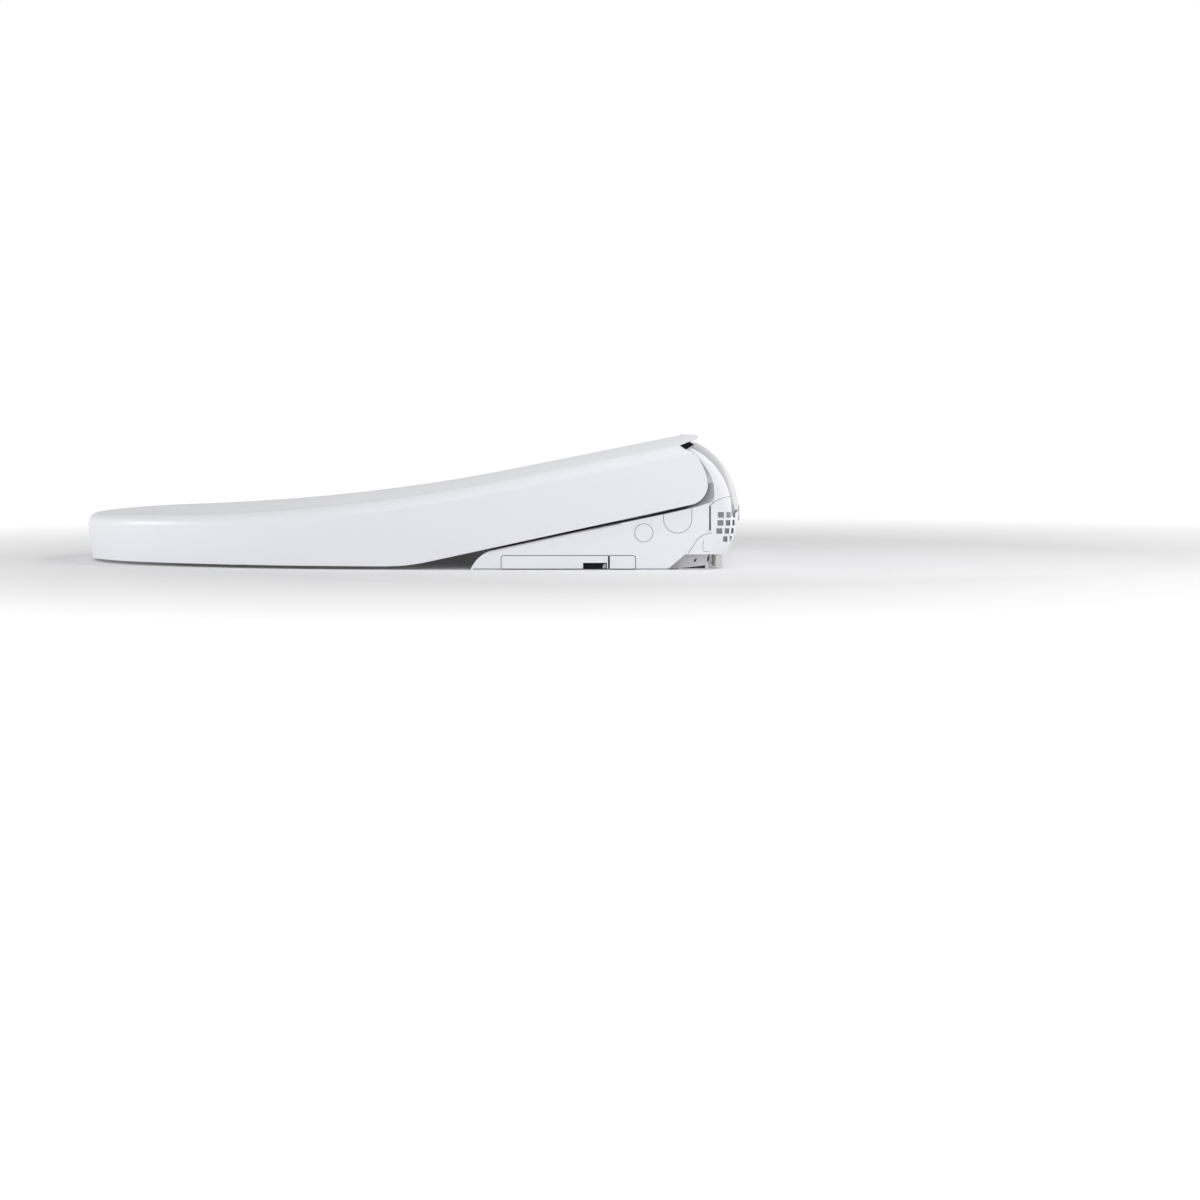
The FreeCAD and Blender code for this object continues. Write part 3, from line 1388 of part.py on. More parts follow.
def base_pieces():
    blank = block("base_blank", ("-base_half", "-base_front", "0.2"),
                  ("base_half", "base_rear", "base_thick"))
    lip = block("base_lip", ("-base_half", "base_rear - 3", "0.2"),
                ("base_half", "base_rear", "heel_height - 0.5"))
    holes = []
    sleeves = []
    for side in ("-1", "1"):
        spot = "%s * bolt_spacing / 2" % side
        holes.append(rod("bolt_way_" + side, (spot, "0", "-1"), "bolt_hole + 3", "10", LEVEL[0]))
        sleeve = rod("sleeve_" + side, (spot, "0", "0.2"), "bolt_hole + 3", "base_thick - 0.2", LEVEL[0])
        flange = rod("flange_" + side, (spot, "0", "base_thick"), "bolt_hole + 6", "flange_thick",
                     LEVEL[0])
        bore = rod("bore_" + side, (spot, "0", "-1"), "bolt_hole", "10", LEVEL[0])
        sleeves.append(less("bushing_" + side, fused("bushing_blank_" + side, sleeve, flange), bore))
    keep(less("base", fused("base_with_lip", blank, lip), *holes), "base_plate")
    keep(fused("bushings", *sleeves), "base_plate_bushings")


def left_panel():
    """The pull-out filter drawer and the latch button in the left cover."""
    skin = "(cover_half - cover_wall)"
    face = panel("filter_face", "-panel_front", "-panel_rear", "front", "0", skin, "cover_half")
    notch = block("filter_notch", ("%s - 1" % skin, "-notch_front", "-1"),
                  ("cover_half + 1", "-notch_rear", "notch_height"))
    frame = block("filter_frame", ("%s - filter_depth" % skin, "-panel_front + 4", "3.2"),
                  (skin, "-notch_front - 4", "panel_height - 1"))
    window = block("filter_window", ("%s - filter_depth + 2" % skin, "-panel_front + 6", "0"),
                   ("%s - 2" % skin, "-notch_front - 6", "panel_height + 1"))
    keep(less("filter_drawer", fused("filter_blank", face, frame), notch, window), "filter_cover")
    pack = block("filter_pack", ("%s - filter_depth + 2" % skin, "-panel_front + 6", "3.8"),
                 ("%s - 2" % skin, "-notch_front - 6", "panel_height - 1.6"))
    keep(pack, "deodorizer_filter")
    face = panel("latch_face", "-button_front", "-button_rear", "rear", "0", skin, "cover_half")
    stem = block("latch_stem", ("barrel_half + 3", "-button_front + 6", "3.5"),
                 (skin, "-button_rear - 6", "panel_height - 2.5"))
    keep(fused("latch", face, stem), "release_button")


def right_buttons():
    for place, label in zip(BUTTONS, ("power_button", "wash_button")):
        foot = ("-cover_half - 0.4", "-(%s)" % place, "button_height")
        keep(rod(label + "_cap", foot, "button_radius", "cover_wall + 3"), label)
    board = block("button_board", ("-cover_half + cover_wall + 4.5", "-button_place - button_pitch - 8",
                                   "case_wall + 0.3"),
                  ("-cover_half + cover_wall + 6", "-button_place + 8", "button_height + 6"))
    keep(board, "button_board")


def inner_blocks():
    for label, low, high in INSIDE:
        keep(block(label + "_block", low, high), label)


INSIDE = [
    ("water_heater", ("block_right", "dome_end - 55", "38"), ("heater_left", "dome_end - 17", "76")),
    ("valve_unit", ("block_right", "-62", ROOF + " + block_lift"), ("heater_left - 2", "-22", "26")),
    ("solenoid_valve", ("block_right", "-14", "14"), ("block_right + 28", "14", "34")),
    ("control_board", ("-board_left", "dome_end - 37", HEEL_FLOOR + " + block_lift"),
     ("board_thick - board_left", "dome_end - 15", "74")),
    ("power_board", ("power_board_gap - board_left", "-84", "case_wall + block_lift"),
     ("power_board_gap + power_board_width - board_left", "-50",
      "case_wall + block_lift + board_thick")),
]


def inlets():
    gland = block("gland_blank", ("gland_place - gland_half", "dome_end - 8", "gland_low"),
                  ("gland_place + gland_half", "gland_back", "gland_high"))
    bore = rod("gland_bore", ("gland_place", "gland_back + 1", "gland_low / 2 + gland_high / 2"),
               "gland_bore", "8", FreeCAD.Rotation(X, 90))
    keep(less("gland", gland, bore), "power_inlet")
    pipe = rod("inlet_pipe", ("inlet_place", "inlet_back", "1.5"), "inlet_radius",
               "heel_height - 1.5", LEVEL[0])
    keep(pipe, "water_inlet")


lid_pieces()
seat_pieces()
covers()
cases()
wand_pieces()
dryer_pieces()
suction_pieces()
hinge_pieces()
base_pieces()
left_panel()
right_buttons()
inner_blocks()
inlets()
doc.recompute()
failed = [thing.Name for thing in doc.Objects if {"Invalid", "Error"} & set(thing.State)]
for label, solid in parts.items():
    if solid.Shape.isNull() or not solid.Shape.isValid() or solid.Shape.Volume <= 0:
        failed.append(label)
if failed:
    raise RuntimeError("these did not build: " + ", ".join(failed))
os.makedirs("parts", exist_ok=True)
for label, solid in parts.items():
    solid.Shape.exportStep("parts/%s.step" % label)
    print(label, len(solid.Shape.Solids), "solids", round(solid.Shape.Volume), "mm3")
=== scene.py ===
# %% [markdown]
# # An electric bidet seat
#
# The seat and its lid turn on one line that runs across a low housing. The housing holds a washing
# wand, a warm-air dryer and a small fan. Almost all of it is white moulded plastic, so the looks
# depend on the shapes of a few large shells, on narrow seams between them, and on how softly
# each plastic shines. First the frame is loaded: the mechanical model, one object per piece.

# %% The frame
import json

import bpy
import numpy as np
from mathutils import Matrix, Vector


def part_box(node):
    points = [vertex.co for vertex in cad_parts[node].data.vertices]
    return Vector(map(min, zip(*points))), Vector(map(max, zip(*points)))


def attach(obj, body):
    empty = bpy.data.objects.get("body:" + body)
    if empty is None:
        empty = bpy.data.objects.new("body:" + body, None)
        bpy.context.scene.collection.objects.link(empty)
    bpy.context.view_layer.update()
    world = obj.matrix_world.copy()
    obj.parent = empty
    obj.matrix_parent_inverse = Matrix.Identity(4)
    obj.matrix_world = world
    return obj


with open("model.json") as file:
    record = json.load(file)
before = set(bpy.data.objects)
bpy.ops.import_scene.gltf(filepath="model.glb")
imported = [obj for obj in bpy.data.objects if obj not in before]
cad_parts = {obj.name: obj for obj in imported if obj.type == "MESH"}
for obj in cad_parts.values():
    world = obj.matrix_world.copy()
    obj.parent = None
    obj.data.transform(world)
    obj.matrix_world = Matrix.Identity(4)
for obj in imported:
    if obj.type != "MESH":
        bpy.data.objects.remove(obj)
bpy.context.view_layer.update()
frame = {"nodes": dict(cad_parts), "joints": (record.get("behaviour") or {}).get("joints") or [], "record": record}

nodes = frame["nodes"]
print("pieces in the frame:", len(nodes))

# %% [markdown]
# Some places come from the frame. The joint that the seat turns on gives the hinge line, and the
# boxes of single pieces give how far out their sides are. The frame is in metres, and the small
# shapes below are easier to read in millimetres.

# %% Places read from the frame
MM = 0.001
joints = {joint["name"]: joint for joint in frame["joints"]}
hinge = Vector(joints["seat_hinge"]["pos_m"])
COVER_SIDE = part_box("left_side_cover")[1][0]
TRAY_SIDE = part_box("lower_case")[1][0]
print("hinge line:", tuple(hinge))
print("sides of the cover and of the tray:", round(COVER_SIDE, 4), round(TRAY_SIDE, 4))

# %% [markdown]
# ## Finishes
#
# Moulded plastic is never quite even. Its gloss changes a little from place to place, and its
# surface has a very fine waviness that shows only in reflections. Each finish below is a
# Principled shader whose roughness and bump come from noise on Object coordinates, so the
# pattern keeps its real size on every piece.

# %% Helpers that wire nodes
NOISE_LOW, NOISE_HIGH, NOISE_ROUGH = 0.3, 0.7, 0.55
WHITE = (1.0, 1.0, 1.0, 1.0)


def new_material(name):
    material = bpy.data.materials.new(name)
    material.use_nodes = True
    tree = material.node_tree
    shader = tree.nodes["Principled BSDF"]
    return material, tree, shader


def add(tree, kind, **sockets):
    node = tree.nodes.new(kind)
    for socket, value in sockets.items():
        node.inputs[socket.replace("_", " ")].default_value = value
    return node


def noise(tree, scale, detail=4.0):
    """Noise on Object coordinates, in bumps per metre."""
    place = add(tree, "ShaderNodeTexCoord")
    pattern = add(tree, "ShaderNodeTexNoise", Scale=scale, Detail=detail, Roughness=NOISE_ROUGH)
    tree.links.new(place.outputs["Object"], pattern.inputs["Vector"])
    return pattern.outputs["Fac"]


def spread(tree, factor, low, high):
    """Noise, which mostly stays between 0.3 and 0.7, turned into a value between low and high."""
    node = add(tree, "ShaderNodeMapRange", From_Min=NOISE_LOW, From_Max=NOISE_HIGH,
               To_Min=low, To_Max=high)
    tree.links.new(factor, node.inputs["Value"])
    return node.outputs["Result"]


def bump(tree, shader, factor, strength, depth):
    node = add(tree, "ShaderNodeBump", Strength=strength, Distance=depth)
    tree.links.new(factor, node.inputs["Height"])
    tree.links.new(node.outputs["Normal"], shader.inputs["Normal"])


def tint(tree, shader, factor, first, second):
    """The colour runs from the first tone to the second as the factor goes from 0 to 1."""
    node = add(tree, "ShaderNodeMix")
    node.data_type = "RGBA"
    node.inputs["A"].default_value = (*first, 1.0)
    node.inputs["B"].default_value = (*second, 1.0)
    tree.links.new(factor, node.inputs["Factor"])
    tree.links.new(node.outputs["Result"], shader.inputs["Base Color"])


print("noise is taken to run from", NOISE_LOW, "to", NOISE_HIGH)

# %% Moulded plastics
PLASTIC_IOR, COAT_ROUGH = 1.49, 0.08
TONE_PATCHES, GLOSS_PATCHES = 6.0, 40.0
SKIN_STRENGTH, SKIN_DETAIL = 0.35, 2.0


def moulded(tree, shader, gloss, grain=900.0, depth=0.00002, shine=0.5):
    """Gloss that drifts between two values, and a fine skin."""
    rough = spread(tree, noise(tree, GLOSS_PATCHES), *gloss)
    tree.links.new(rough, shader.inputs["Roughness"])
    bump(tree, shader, noise(tree, grain, detail=SKIN_DETAIL), SKIN_STRENGTH, depth)
    shader.inputs["IOR"].default_value = PLASTIC_IOR
    shader.inputs["Specular IOR Level"].default_value = shine


def plastic(name, colour, drift=0.015, coat=0.0, **skin):
    """A moulded plastic of two near tones, with the gloss and the skin of moulded()."""
    material, tree, shader = new_material(name)
    darker = tuple(channel - drift for channel in colour)
    tint(tree, shader, noise(tree, TONE_PATCHES), colour, darker)
    moulded(tree, shader, **skin)
    shader.inputs["Coat Weight"].default_value = coat
    shader.inputs["Coat Roughness"].default_value = COAT_ROUGH
    return material


FINISHES = {
    "gloss_shell": plastic("gloss_shell", (0.81, 0.815, 0.85), gloss=(0.32, 0.38)),
    "seat_shell": plastic("seat_shell", (0.80, 0.80, 0.83), gloss=(0.31, 0.36)),
    "tray_plastic": plastic("tray_plastic", (0.66, 0.66, 0.68), gloss=(0.42, 0.55), grain=1800.0,
                            depth=0.00004),
    "wand_plastic": plastic("wand_plastic", (0.88, 0.88, 0.89), gloss=(0.14, 0.2), coat=0.4),
    "grey_plastic": plastic("grey_plastic", (0.42, 0.43, 0.45), gloss=(0.35, 0.5)),
    "bush_plastic": plastic("bush_plastic", (0.74, 0.74, 0.70), gloss=(0.35, 0.45)),
    "soft_rubber": plastic("soft_rubber", (0.55, 0.55, 0.56), gloss=(0.6, 0.75), grain=2400.0,
                           depth=0.00006),
    "filter_foam": plastic("filter_foam", (0.035, 0.035, 0.04), gloss=(0.85, 0.95), grain=1400.0,
                           depth=0.0006, drift=0.01),
    "board": plastic("board", (0.04, 0.20, 0.09), gloss=(0.3, 0.4), grain=700.0),
}
print("plastics:", sorted(FINISHES))

# %% [markdown]
# The motors, the pins and the water inlet are drawn or turned metal, which has fine parallel lines.
# The lines could be drawn one by one. Noise that is stretched along X gives them at less cost, and
# it never repeats.

# %% Metals
METAL_PATCHES, METAL_DARKER = 20.0, 0.9
LINES_ALONG, LINE_STRENGTH, LINE_DEPTH = 40.0, 0.3, 0.00002


def metal(name, colour, gloss, grain):
    """A drawn or turned metal, with fine lines along X: noise that is stretched that way."""
    material, tree, shader = new_material(name)
    place = add(tree, "ShaderNodeTexCoord")
    stretch = add(tree, "ShaderNodeMapping", Scale=(LINES_ALONG, grain, grain))
    lines = add(tree, "ShaderNodeTexNoise", Scale=1.0, Detail=3.0, Roughness=0.6)
    tree.links.new(place.outputs["Object"], stretch.inputs["Vector"])
    tree.links.new(stretch.outputs["Vector"], lines.inputs["Vector"])
    darker = tuple(METAL_DARKER * channel for channel in colour)
    tint(tree, shader, noise(tree, METAL_PATCHES), colour, darker)
    rough = spread(tree, lines.outputs["Fac"], *gloss)
    tree.links.new(rough, shader.inputs["Roughness"])
    bump(tree, shader, lines.outputs["Fac"], LINE_STRENGTH, LINE_DEPTH)
    shader.inputs["Metallic"].default_value = 1.0
    return material


METALS = {
    "steel": metal("steel", (0.62, 0.62, 0.64), (0.22, 0.36), 2500.0),
    "heater_foil": metal("heater_foil", (0.78, 0.78, 0.79), (0.15, 0.4), 900.0),
    "brass": metal("brass", (0.66, 0.65, 0.62), (0.2, 0.32), 2500.0),
}
FINISHES.update(METALS)
print("metals:", sorted(METALS))

# %% [markdown]
# The frame's record says which finish each piece has, so the materials go on by slot.

# %% Finishes go on the frame's pieces
slot_of = {part["node"]: part["material_slot"] for part in frame["record"]["subparts"]}
for name, thing in nodes.items():
    thing.data.materials.clear()
    thing.data.materials.append(FINISHES[slot_of[name]])
print("pieces with a finish:", len(nodes))

# %% [markdown]
# ## Surfaces from arrays
#
# A seam between two mouldings is a deep narrow gap, and what shows is the shade at its bottom,
# painted here. It could be painted onto the surface, but a thin dark strip that lies in the gap
# works from every side. A strip is one loop of points carried along a path, and so are most of the
# small pieces below: a sheet with a front and a back is a row of long thin loops. So one helper
# joins loops into a closed piece.

# %% A mesh from arrays
def made(name, points, rings, finish, body, slot="grey_plastic", sharp=None):
    """A piece on a body, from an array of corners and the ring of corner numbers of each face.

    With sharp=, it is shaded smooth but for edges that turn by more than that angle.
    """
    mesh = bpy.data.meshes.new(name)
    mesh.from_pydata(points.reshape(-1, 3).tolist(), [], rings)
    mesh.update()
    thing = bpy.data.objects.new(name, mesh)
    bpy.context.scene.collection.objects.link(thing)
    mesh.materials.append(finish)
    if sharp is not None:
        mesh.shade_smooth()
        mesh.set_sharp_from_angle(angle=sharp)
    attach(thing, body)
    return thing


def grid_faces(rows, columns, wrap_rows=False):
    """Quads between each row and the next, closed round the columns and, if asked, the rows."""
    row, column = np.meshgrid(np.arange(rows if wrap_rows else rows - 1), np.arange(columns),
                              indexing="ij")
    after, beside = (row + 1) % rows, (column + 1) % columns
    corners = [row * columns + column, row * columns + beside,
               after * columns + beside, after * columns + column]
    return np.stack(corners, axis=-1).reshape(-1, 4)


def joined(name, loops, finish, body, flip=False, closed=False, **rest):
    """Loops of points joined by quads, with a face over the first and the last unless closed."""
    rows, columns = loops.shape[:2]
    rings = grid_faces(rows, columns, wrap_rows=closed).tolist()
    if not closed:
        ends = np.arange(columns)
        rings += [ends[::-1].tolist(), (ends + (rows - 1) * columns).tolist()]
    if flip:
        rings = [ring[::-1] for ring in rings]
    return made(name, loops, rings, finish, body, **rest)


def two_layers(front, back):
    """The loops of a sheet: out along a row of its front and home along the same row behind."""
    return np.concatenate((front, back[:, ::-1]), axis=1)


print("quads between 3 loops of 8 points:", len(grid_faces(3, 8)))

# %% [markdown]
# The seams lie on the side cover, which is flat but for its rounded rear corner. A strip could be
# pressed onto the cover's mesh, but the shape is simple enough to work out: a point in the plane of
# the side is given, and its height goes with how near it is to the dome's rim.

# %% The cover's side surface
DOME = np.array((-12.6, 44.6)) * MM
DOME_RADIUS, DOME_ROUND = 59.6 * MM, 13.0 * MM
NEARLY_ROUND = 0.999
PATH_STEP = 1.0
PATH_SHORT = 1e-9


def side_height(path):
    """X of the cover's side: flat, then falling as a quarter circle towards the dome's rim."""
    away = np.linalg.norm(path - DOME, axis=1) - (DOME_RADIUS - DOME_ROUND)
    away = np.clip(away, 0.0, DOME_ROUND * NEARLY_ROUND) * (path[:, 0] > 0)
    return COVER_SIDE - (DOME_ROUND - np.sqrt(DOME_ROUND ** 2 - away ** 2))


def smooth_path(corners, count):
    """A Catmull-Rom curve through the corners, sampled evenly in its parameter."""
    corners = np.array(corners, dtype=float) * MM
    padded = np.vstack((2 * corners[0] - corners[1], corners, 2 * corners[-1] - corners[-2]))
    step = np.linspace(0.0, len(corners) - 1 - PATH_SHORT, count)
    first, share = step.astype(int), (step % 1.0)[:, None]
    a, b, c, d = (padded[first + shift] for shift in range(4))
    return 0.5 * (2 * b + (c - a) * share + (2 * a - 5 * b + 4 * c - d) * share ** 2
                  + (3 * b - a - 3 * c + d) * share ** 3)


def straight_path(start, end):
    """Points about every millimetre along a straight run."""
    start, end = np.array(start, dtype=float), np.array(end, dtype=float)
    count = max(int(np.linalg.norm(end - start) / PATH_STEP), 1)
    return np.linspace(start, end, count + 1) * MM


def circle(centre, radius, angles):
    """Centre plus radius times (cos, sin) of each angle."""
    return (np.array(centre) + radius * np.stack((np.cos(angles), np.sin(angles)), axis=1)) * MM


print("the dome's radius and its rounding, in metres:", round(DOME_RADIUS, 4), DOME_ROUND)

# %% A strip along a path
# The dark of the strips and plates below is painted shade: the shade in seams, holes and under the foot.
PAINTED_SHADE = plastic("painted_shade", (0.04, 0.04, 0.055), drift=0.01, gloss=(0.6, 0.8), shine=0.1)
STRIP_THICK, STRIP_SHARP = 0.25, 0.6
SIDES = {"left": 1.0, "right": -1.0}


def strip(name, path, width, body, side=1.0, lift=0.02, closed=False, finish=PAINTED_SHADE):
    """A flat bar along a (y, z) path: four rails at half a width each way, at two heights."""
    if closed:
        ahead = np.roll(path, -1, axis=0) - np.roll(path, 1, axis=0)
    else:
        ahead = np.gradient(path, axis=0)
    ahead /= np.linalg.norm(ahead, axis=1)[:, None]
    across = np.stack((-ahead[:, 1], ahead[:, 0]), axis=1) * width * MM / 2
    top = side_height(path) + lift * MM
    rails = []
    for way, drop in ((1, 0.0), (-1, 0.0), (-1, STRIP_THICK * MM), (1, STRIP_THICK * MM)):
        rail = path + way * across
        rails.append(np.stack((side * (top - drop), rail[:, 0], rail[:, 1]), axis=1))
    return joined(name, np.stack(rails, axis=1), finish, body, flip=side < 0, closed=closed,
                  sharp=STRIP_SHARP)


print("a strip is", STRIP_THICK, "mm thick")

# %% [markdown]
# Each side cover has a flush U-shaped cap over the hinge and a flush round cap, and both read as
# thin lines: the shade in their seams, painted with strips. The left cover also has the filter
# drawer, the latch and the vent panel.

# %% Seams of the two caps, on both covers
HINGE_UP = hinge[2] / MM
U_RADIUS, U_FRONT_TOP, U_REAR_TOP, U_START = 10.85, 4.2, 8.6, 0.6
U_WIDE = 0.34
ROUND_CAP, ROUND_CAP_RADIUS, ROUND_CAP_WIDE = (-26.0, 28.3), 6.95, 0.26
TURN_STEPS = 72
whole_turn = np.linspace(0.0, 2 * np.pi, TURN_STEPS, endpoint=False)
half_turn = np.linspace(np.pi, 2 * np.pi, TURN_STEPS // 2)

u_front = np.linspace((-U_RADIUS, HINGE_UP + U_FRONT_TOP), (-U_RADIUS, HINGE_UP + U_START), 6)
u_rear = np.linspace((U_RADIUS, HINGE_UP + U_START), (U_RADIUS, HINGE_UP + U_REAR_TOP), 8)
u_path = np.vstack((u_front * MM, circle((0.0, HINGE_UP), U_RADIUS, half_turn), u_rear * MM))
round_path = circle(ROUND_CAP, ROUND_CAP_RADIUS, whole_turn)
for label, side in SIDES.items():
    strip("u_cap_seam_" + label, u_path, U_WIDE, "main_unit", side)
    strip("round_cap_seam_" + label, round_path, ROUND_CAP_WIDE, "main_unit", side, closed=True)
print("cap seams at the hinge's height:", round(HINGE_UP, 2), "mm")

# %% Seams of the filter drawer and the latch
PANEL_FOOT, PANEL_TOP, PANEL_CORNER = 0.6, 10.9, 2.0
DRAWER_FRONT, DRAWER_REAR = -135.5, -53.3
LATCH_FRONT, LATCH_REAR = -52.2, -32.3
JOIN, BEND_STEPS = 0.1, 8
PANEL_WIDE, PANEL_LIFT = 0.5, 0.03
GAP_AT, GAP_WIDE, GAP_LIFT = -52.85, 1.05, 0.04

bend = PANEL_TOP - PANEL_CORNER
drawer_bend = DRAWER_FRONT + PANEL_CORNER
drawer_path = np.vstack((
    straight_path((DRAWER_FRONT, PANEL_FOOT), (DRAWER_FRONT, bend + JOIN)),
    circle((drawer_bend, bend), PANEL_CORNER, np.linspace(np.pi, np.pi / 2, BEND_STEPS)),
    straight_path((drawer_bend + JOIN, PANEL_TOP), (DRAWER_REAR, PANEL_TOP)),
))
latch_bend = LATCH_REAR - PANEL_CORNER
latch_path = np.vstack((
    straight_path((LATCH_FRONT, PANEL_TOP), (latch_bend + JOIN, PANEL_TOP)),
    circle((latch_bend, bend), PANEL_CORNER, np.linspace(np.pi / 2, 0.0, BEND_STEPS)),
    straight_path((LATCH_REAR, bend - JOIN), (LATCH_REAR, PANEL_FOOT)),
))
gap_path = straight_path((GAP_AT, PANEL_TOP), (GAP_AT, PANEL_FOOT))
strip("drawer_seam", drawer_path, PANEL_WIDE, "main_unit", lift=PANEL_LIFT)
strip("latch_seam", latch_path, PANEL_WIDE, "main_unit", lift=PANEL_LIFT)
strip("latch_gap", gap_path, GAP_WIDE, "main_unit", lift=GAP_LIFT)
print("points along the drawer's and the latch's seams:", len(drawer_path), len(latch_path))

# %% Seams of the vent panel: corners, points, width and lift of each
VENT_SEAMS = {
    "vent_seam_top": ([(24.2, 48.9), (27.4, 51.6), (31.8, 54.2), (37.0, 55.7), (40.8, 56.4)],
                      40, 0.3, 0.0),
    "vent_seam_foot": ([(26.4, 28.4), (22.6, 27.6), (19.1, 26.2), (15.3, 23.2), (11.8, 17.9),
                        (8.2, 12.4)], 40, 0.26, 0.02),
    "vent_seam_corner": ([(19.9, 22.2), (19.2, 18.6), (19.4, 15.2), (21.2, 14.0), (24.6, 13.7)],
                         30, 0.26, 0.02),
}
for name, (corners, count, width, lift) in VENT_SEAMS.items():
    strip(name, smooth_path(corners, count), width, "main_unit", lift=lift)

# %% [markdown]
# Under the unit runs a dark line of painted shadow, where its foot meets the bowl. The filter
# drawer and the latch move on their own, so each carries its own piece of the line.

# %% The painted shadow along the foot
FOOT_UP, FOOT_WIDE, FOOT_LIFT = 0.55, 0.6, 0.03
FOOT_RUNS = {
    "front": (-157.0, -135.9, "main_unit"),
    "drawer": (-135.2, -53.6, "filter_drawer"),
    "latch": (-51.9, -32.7, "latch"),
    "rear": (-32.0, 1.0, "main_unit"),
}
for label, (start, end, body) in FOOT_RUNS.items():
    strip("foot_shadow_" + label, straight_path((start, FOOT_UP), (end, FOOT_UP)), FOOT_WIDE, body,
          lift=FOOT_LIFT)
print("pieces of the foot line:", len(FOOT_RUNS))

# %% [markdown]
# Behind the slanted edge of the cover stands the grey tray. It has a slot under its top edge, a
# small clip hole, a slit at the rear, and a gap under its foot that widens backwards. On the real
# one these are openings, dark with the shade inside them. Here that shade is painted: each is a
# dark inlay, a fifth of a millimetre thick, on the tray's flat side, because the tray's mesh comes
# from the CAD and isn't cut here.

# %% Inlays of painted shade on the tray
INLAY_THICK, INLAY_PROUD = 0.2, 0.12
TRAY_SHADE_INLAYS = {
    "tray_slot": [(13.0, 11.5), (17.0, 11.7), (17.0, 12.5), (13.0, 12.4)],
    "tray_clip_hole": [(12.4, 5.6), (13.9, 5.4), (15.3, 7.9), (13.6, 7.6)],
    "tray_foot_shade": [(1.5, 0.5), (21.5, 0.5), (21.5, 2.7), (15.0, 1.9), (8.0, 1.1)],
    "tray_rear_slit": [(22.9, 5.6), (23.9, 5.6), (23.9, 10.6), (23.3, 9.2)],
}


def plate(name, outline, body, face, thick=INLAY_THICK, finish=PAINTED_SHADE):
    """A flat polygon at x = face in the (y, z) plane, and the same polygon behind it."""
    outline = np.array(outline, dtype=float) * MM
    layers = [np.column_stack((np.full(len(outline), x), outline))
              for x in (face, face - thick * MM)]
    return joined(name, np.stack(layers), finish, body, flip=True)


for name, outline in TRAY_SHADE_INLAYS.items():
    plate(name, outline, "main_unit", TRAY_SIDE + INLAY_PROUD * MM)
print("inlays on the tray:", len(TRAY_SHADE_INLAYS))

# %% [markdown]
# The filter drawer has a notch for a fingertip. The back of the notch lies in shade, painted here
# on a dark plate, and a small grey tab stands at its rear end. Both ride with the drawer.

# %% The painted shade behind the finger notch, and the tab in it
NOTCH_DEPTH, TAB_DEPTH, TAB_THICK = 9.2, 2.0, 6.0
plate("notch_shade", [(-73.4, 0.4), (-54.0, 0.4), (-54.0, 6.0), (-73.4, 6.0)], "filter_drawer",
      COVER_SIDE - NOTCH_DEPTH * MM)
plate("notch_tab", [(-57.6, 0.9), (-55.0, 0.9), (-55.0, 4.4), (-57.6, 3.6)], "filter_drawer",
      COVER_SIDE - TAB_DEPTH * MM, thick=TAB_THICK, finish=FINISHES["grey_plastic"])

# %% [markdown]
# The lid's tail ends over a hollow in the cover. The hollow lies in shade: nearly black under the
# lid's lower edge and grey towards the back. That shade is painted. A sheet with two curved edges
# fills the hollow: one edge runs under the lid and the other along the hollow's rim. How dark it is
# goes with a value on its corners.

# %% The painted shade of the hollow
def shaded(name, dark, light, **skin):
    """A moulded plastic whose tone is painted shade, following the attribute called shade from 0 to 1."""
    material, tree, shader = new_material(name)
    value = add(tree, "ShaderNodeAttribute")
    value.attribute_name = "shade"
    tint(tree, shader, value.outputs["Fac"], dark, light)
    moulded(tree, shader, **skin)
    return material


HOLLOW_SHADE = shaded("hollow_painted_shade", (0.012, 0.012, 0.02), (0.42, 0.42, 0.46), gloss=(0.5, 0.7),
                shine=0.1)
# A mid grey of painted shade, for the line along the edge of the hollow and for the liner behind the vent.
GREY_SHADE = plastic("grey_painted_shade", (0.36, 0.36, 0.39), drift=0.01, gloss=(0.4, 0.5))
print("finishes of the hollow:", HOLLOW_SHADE.name, GREY_SHADE.name)

# %% The painted shade in the hollow behind the lid's tail
UNDER_LID = [(-64, 33.4), (-40, 38.4), (-20, 42.7), (-5, 46.2), (5, 48.6), (10, 50.4), (15, 53.2),
             (18.6, 56.4), (20.4, 60), (20.9, 66)]
HOLLOW_RIM = [(-64, 31.5), (-40, 36.4), (-20, 40.5), (-5, 43.7), (5, 46.0), (12.5, 47.8),
              (19, 49.6), (24.1, 51.9), (27.3, 56.5), (27.6, 66)]
ALONG, ACROSS = 160, 9
HOLLOW_FRONT, HOLLOW_BACK = 0.06, -0.14
# where the painted shade turns grey along Y, over how far it comes in, and the power that bends it
GREY_FROM, GREY_OVER, GREY_POWER = 6.0, 20.0, 0.8
GREY_MOST, GREY_INNER = 0.95, 0.55
RIM_FROM, RIM_MOST = 0.72, 0.75


def hollow_shade(points, out):
    """Painted shade, where 0 is dark. It rises towards the back and outwards, and at the rim all along."""
    back = np.clip((points[..., 1] / MM - GREY_FROM) / GREY_OVER, 0.0, 1.0)
    rim = np.clip((out - RIM_FROM) / (1 - RIM_FROM), 0.0, 1.0) * (1 - back)
    rear = GREY_MOST * back ** GREY_POWER * (GREY_INNER + (1 - GREY_INNER) * out)
    return np.clip(rear + RIM_MOST * rim, 0.0, 1.0)


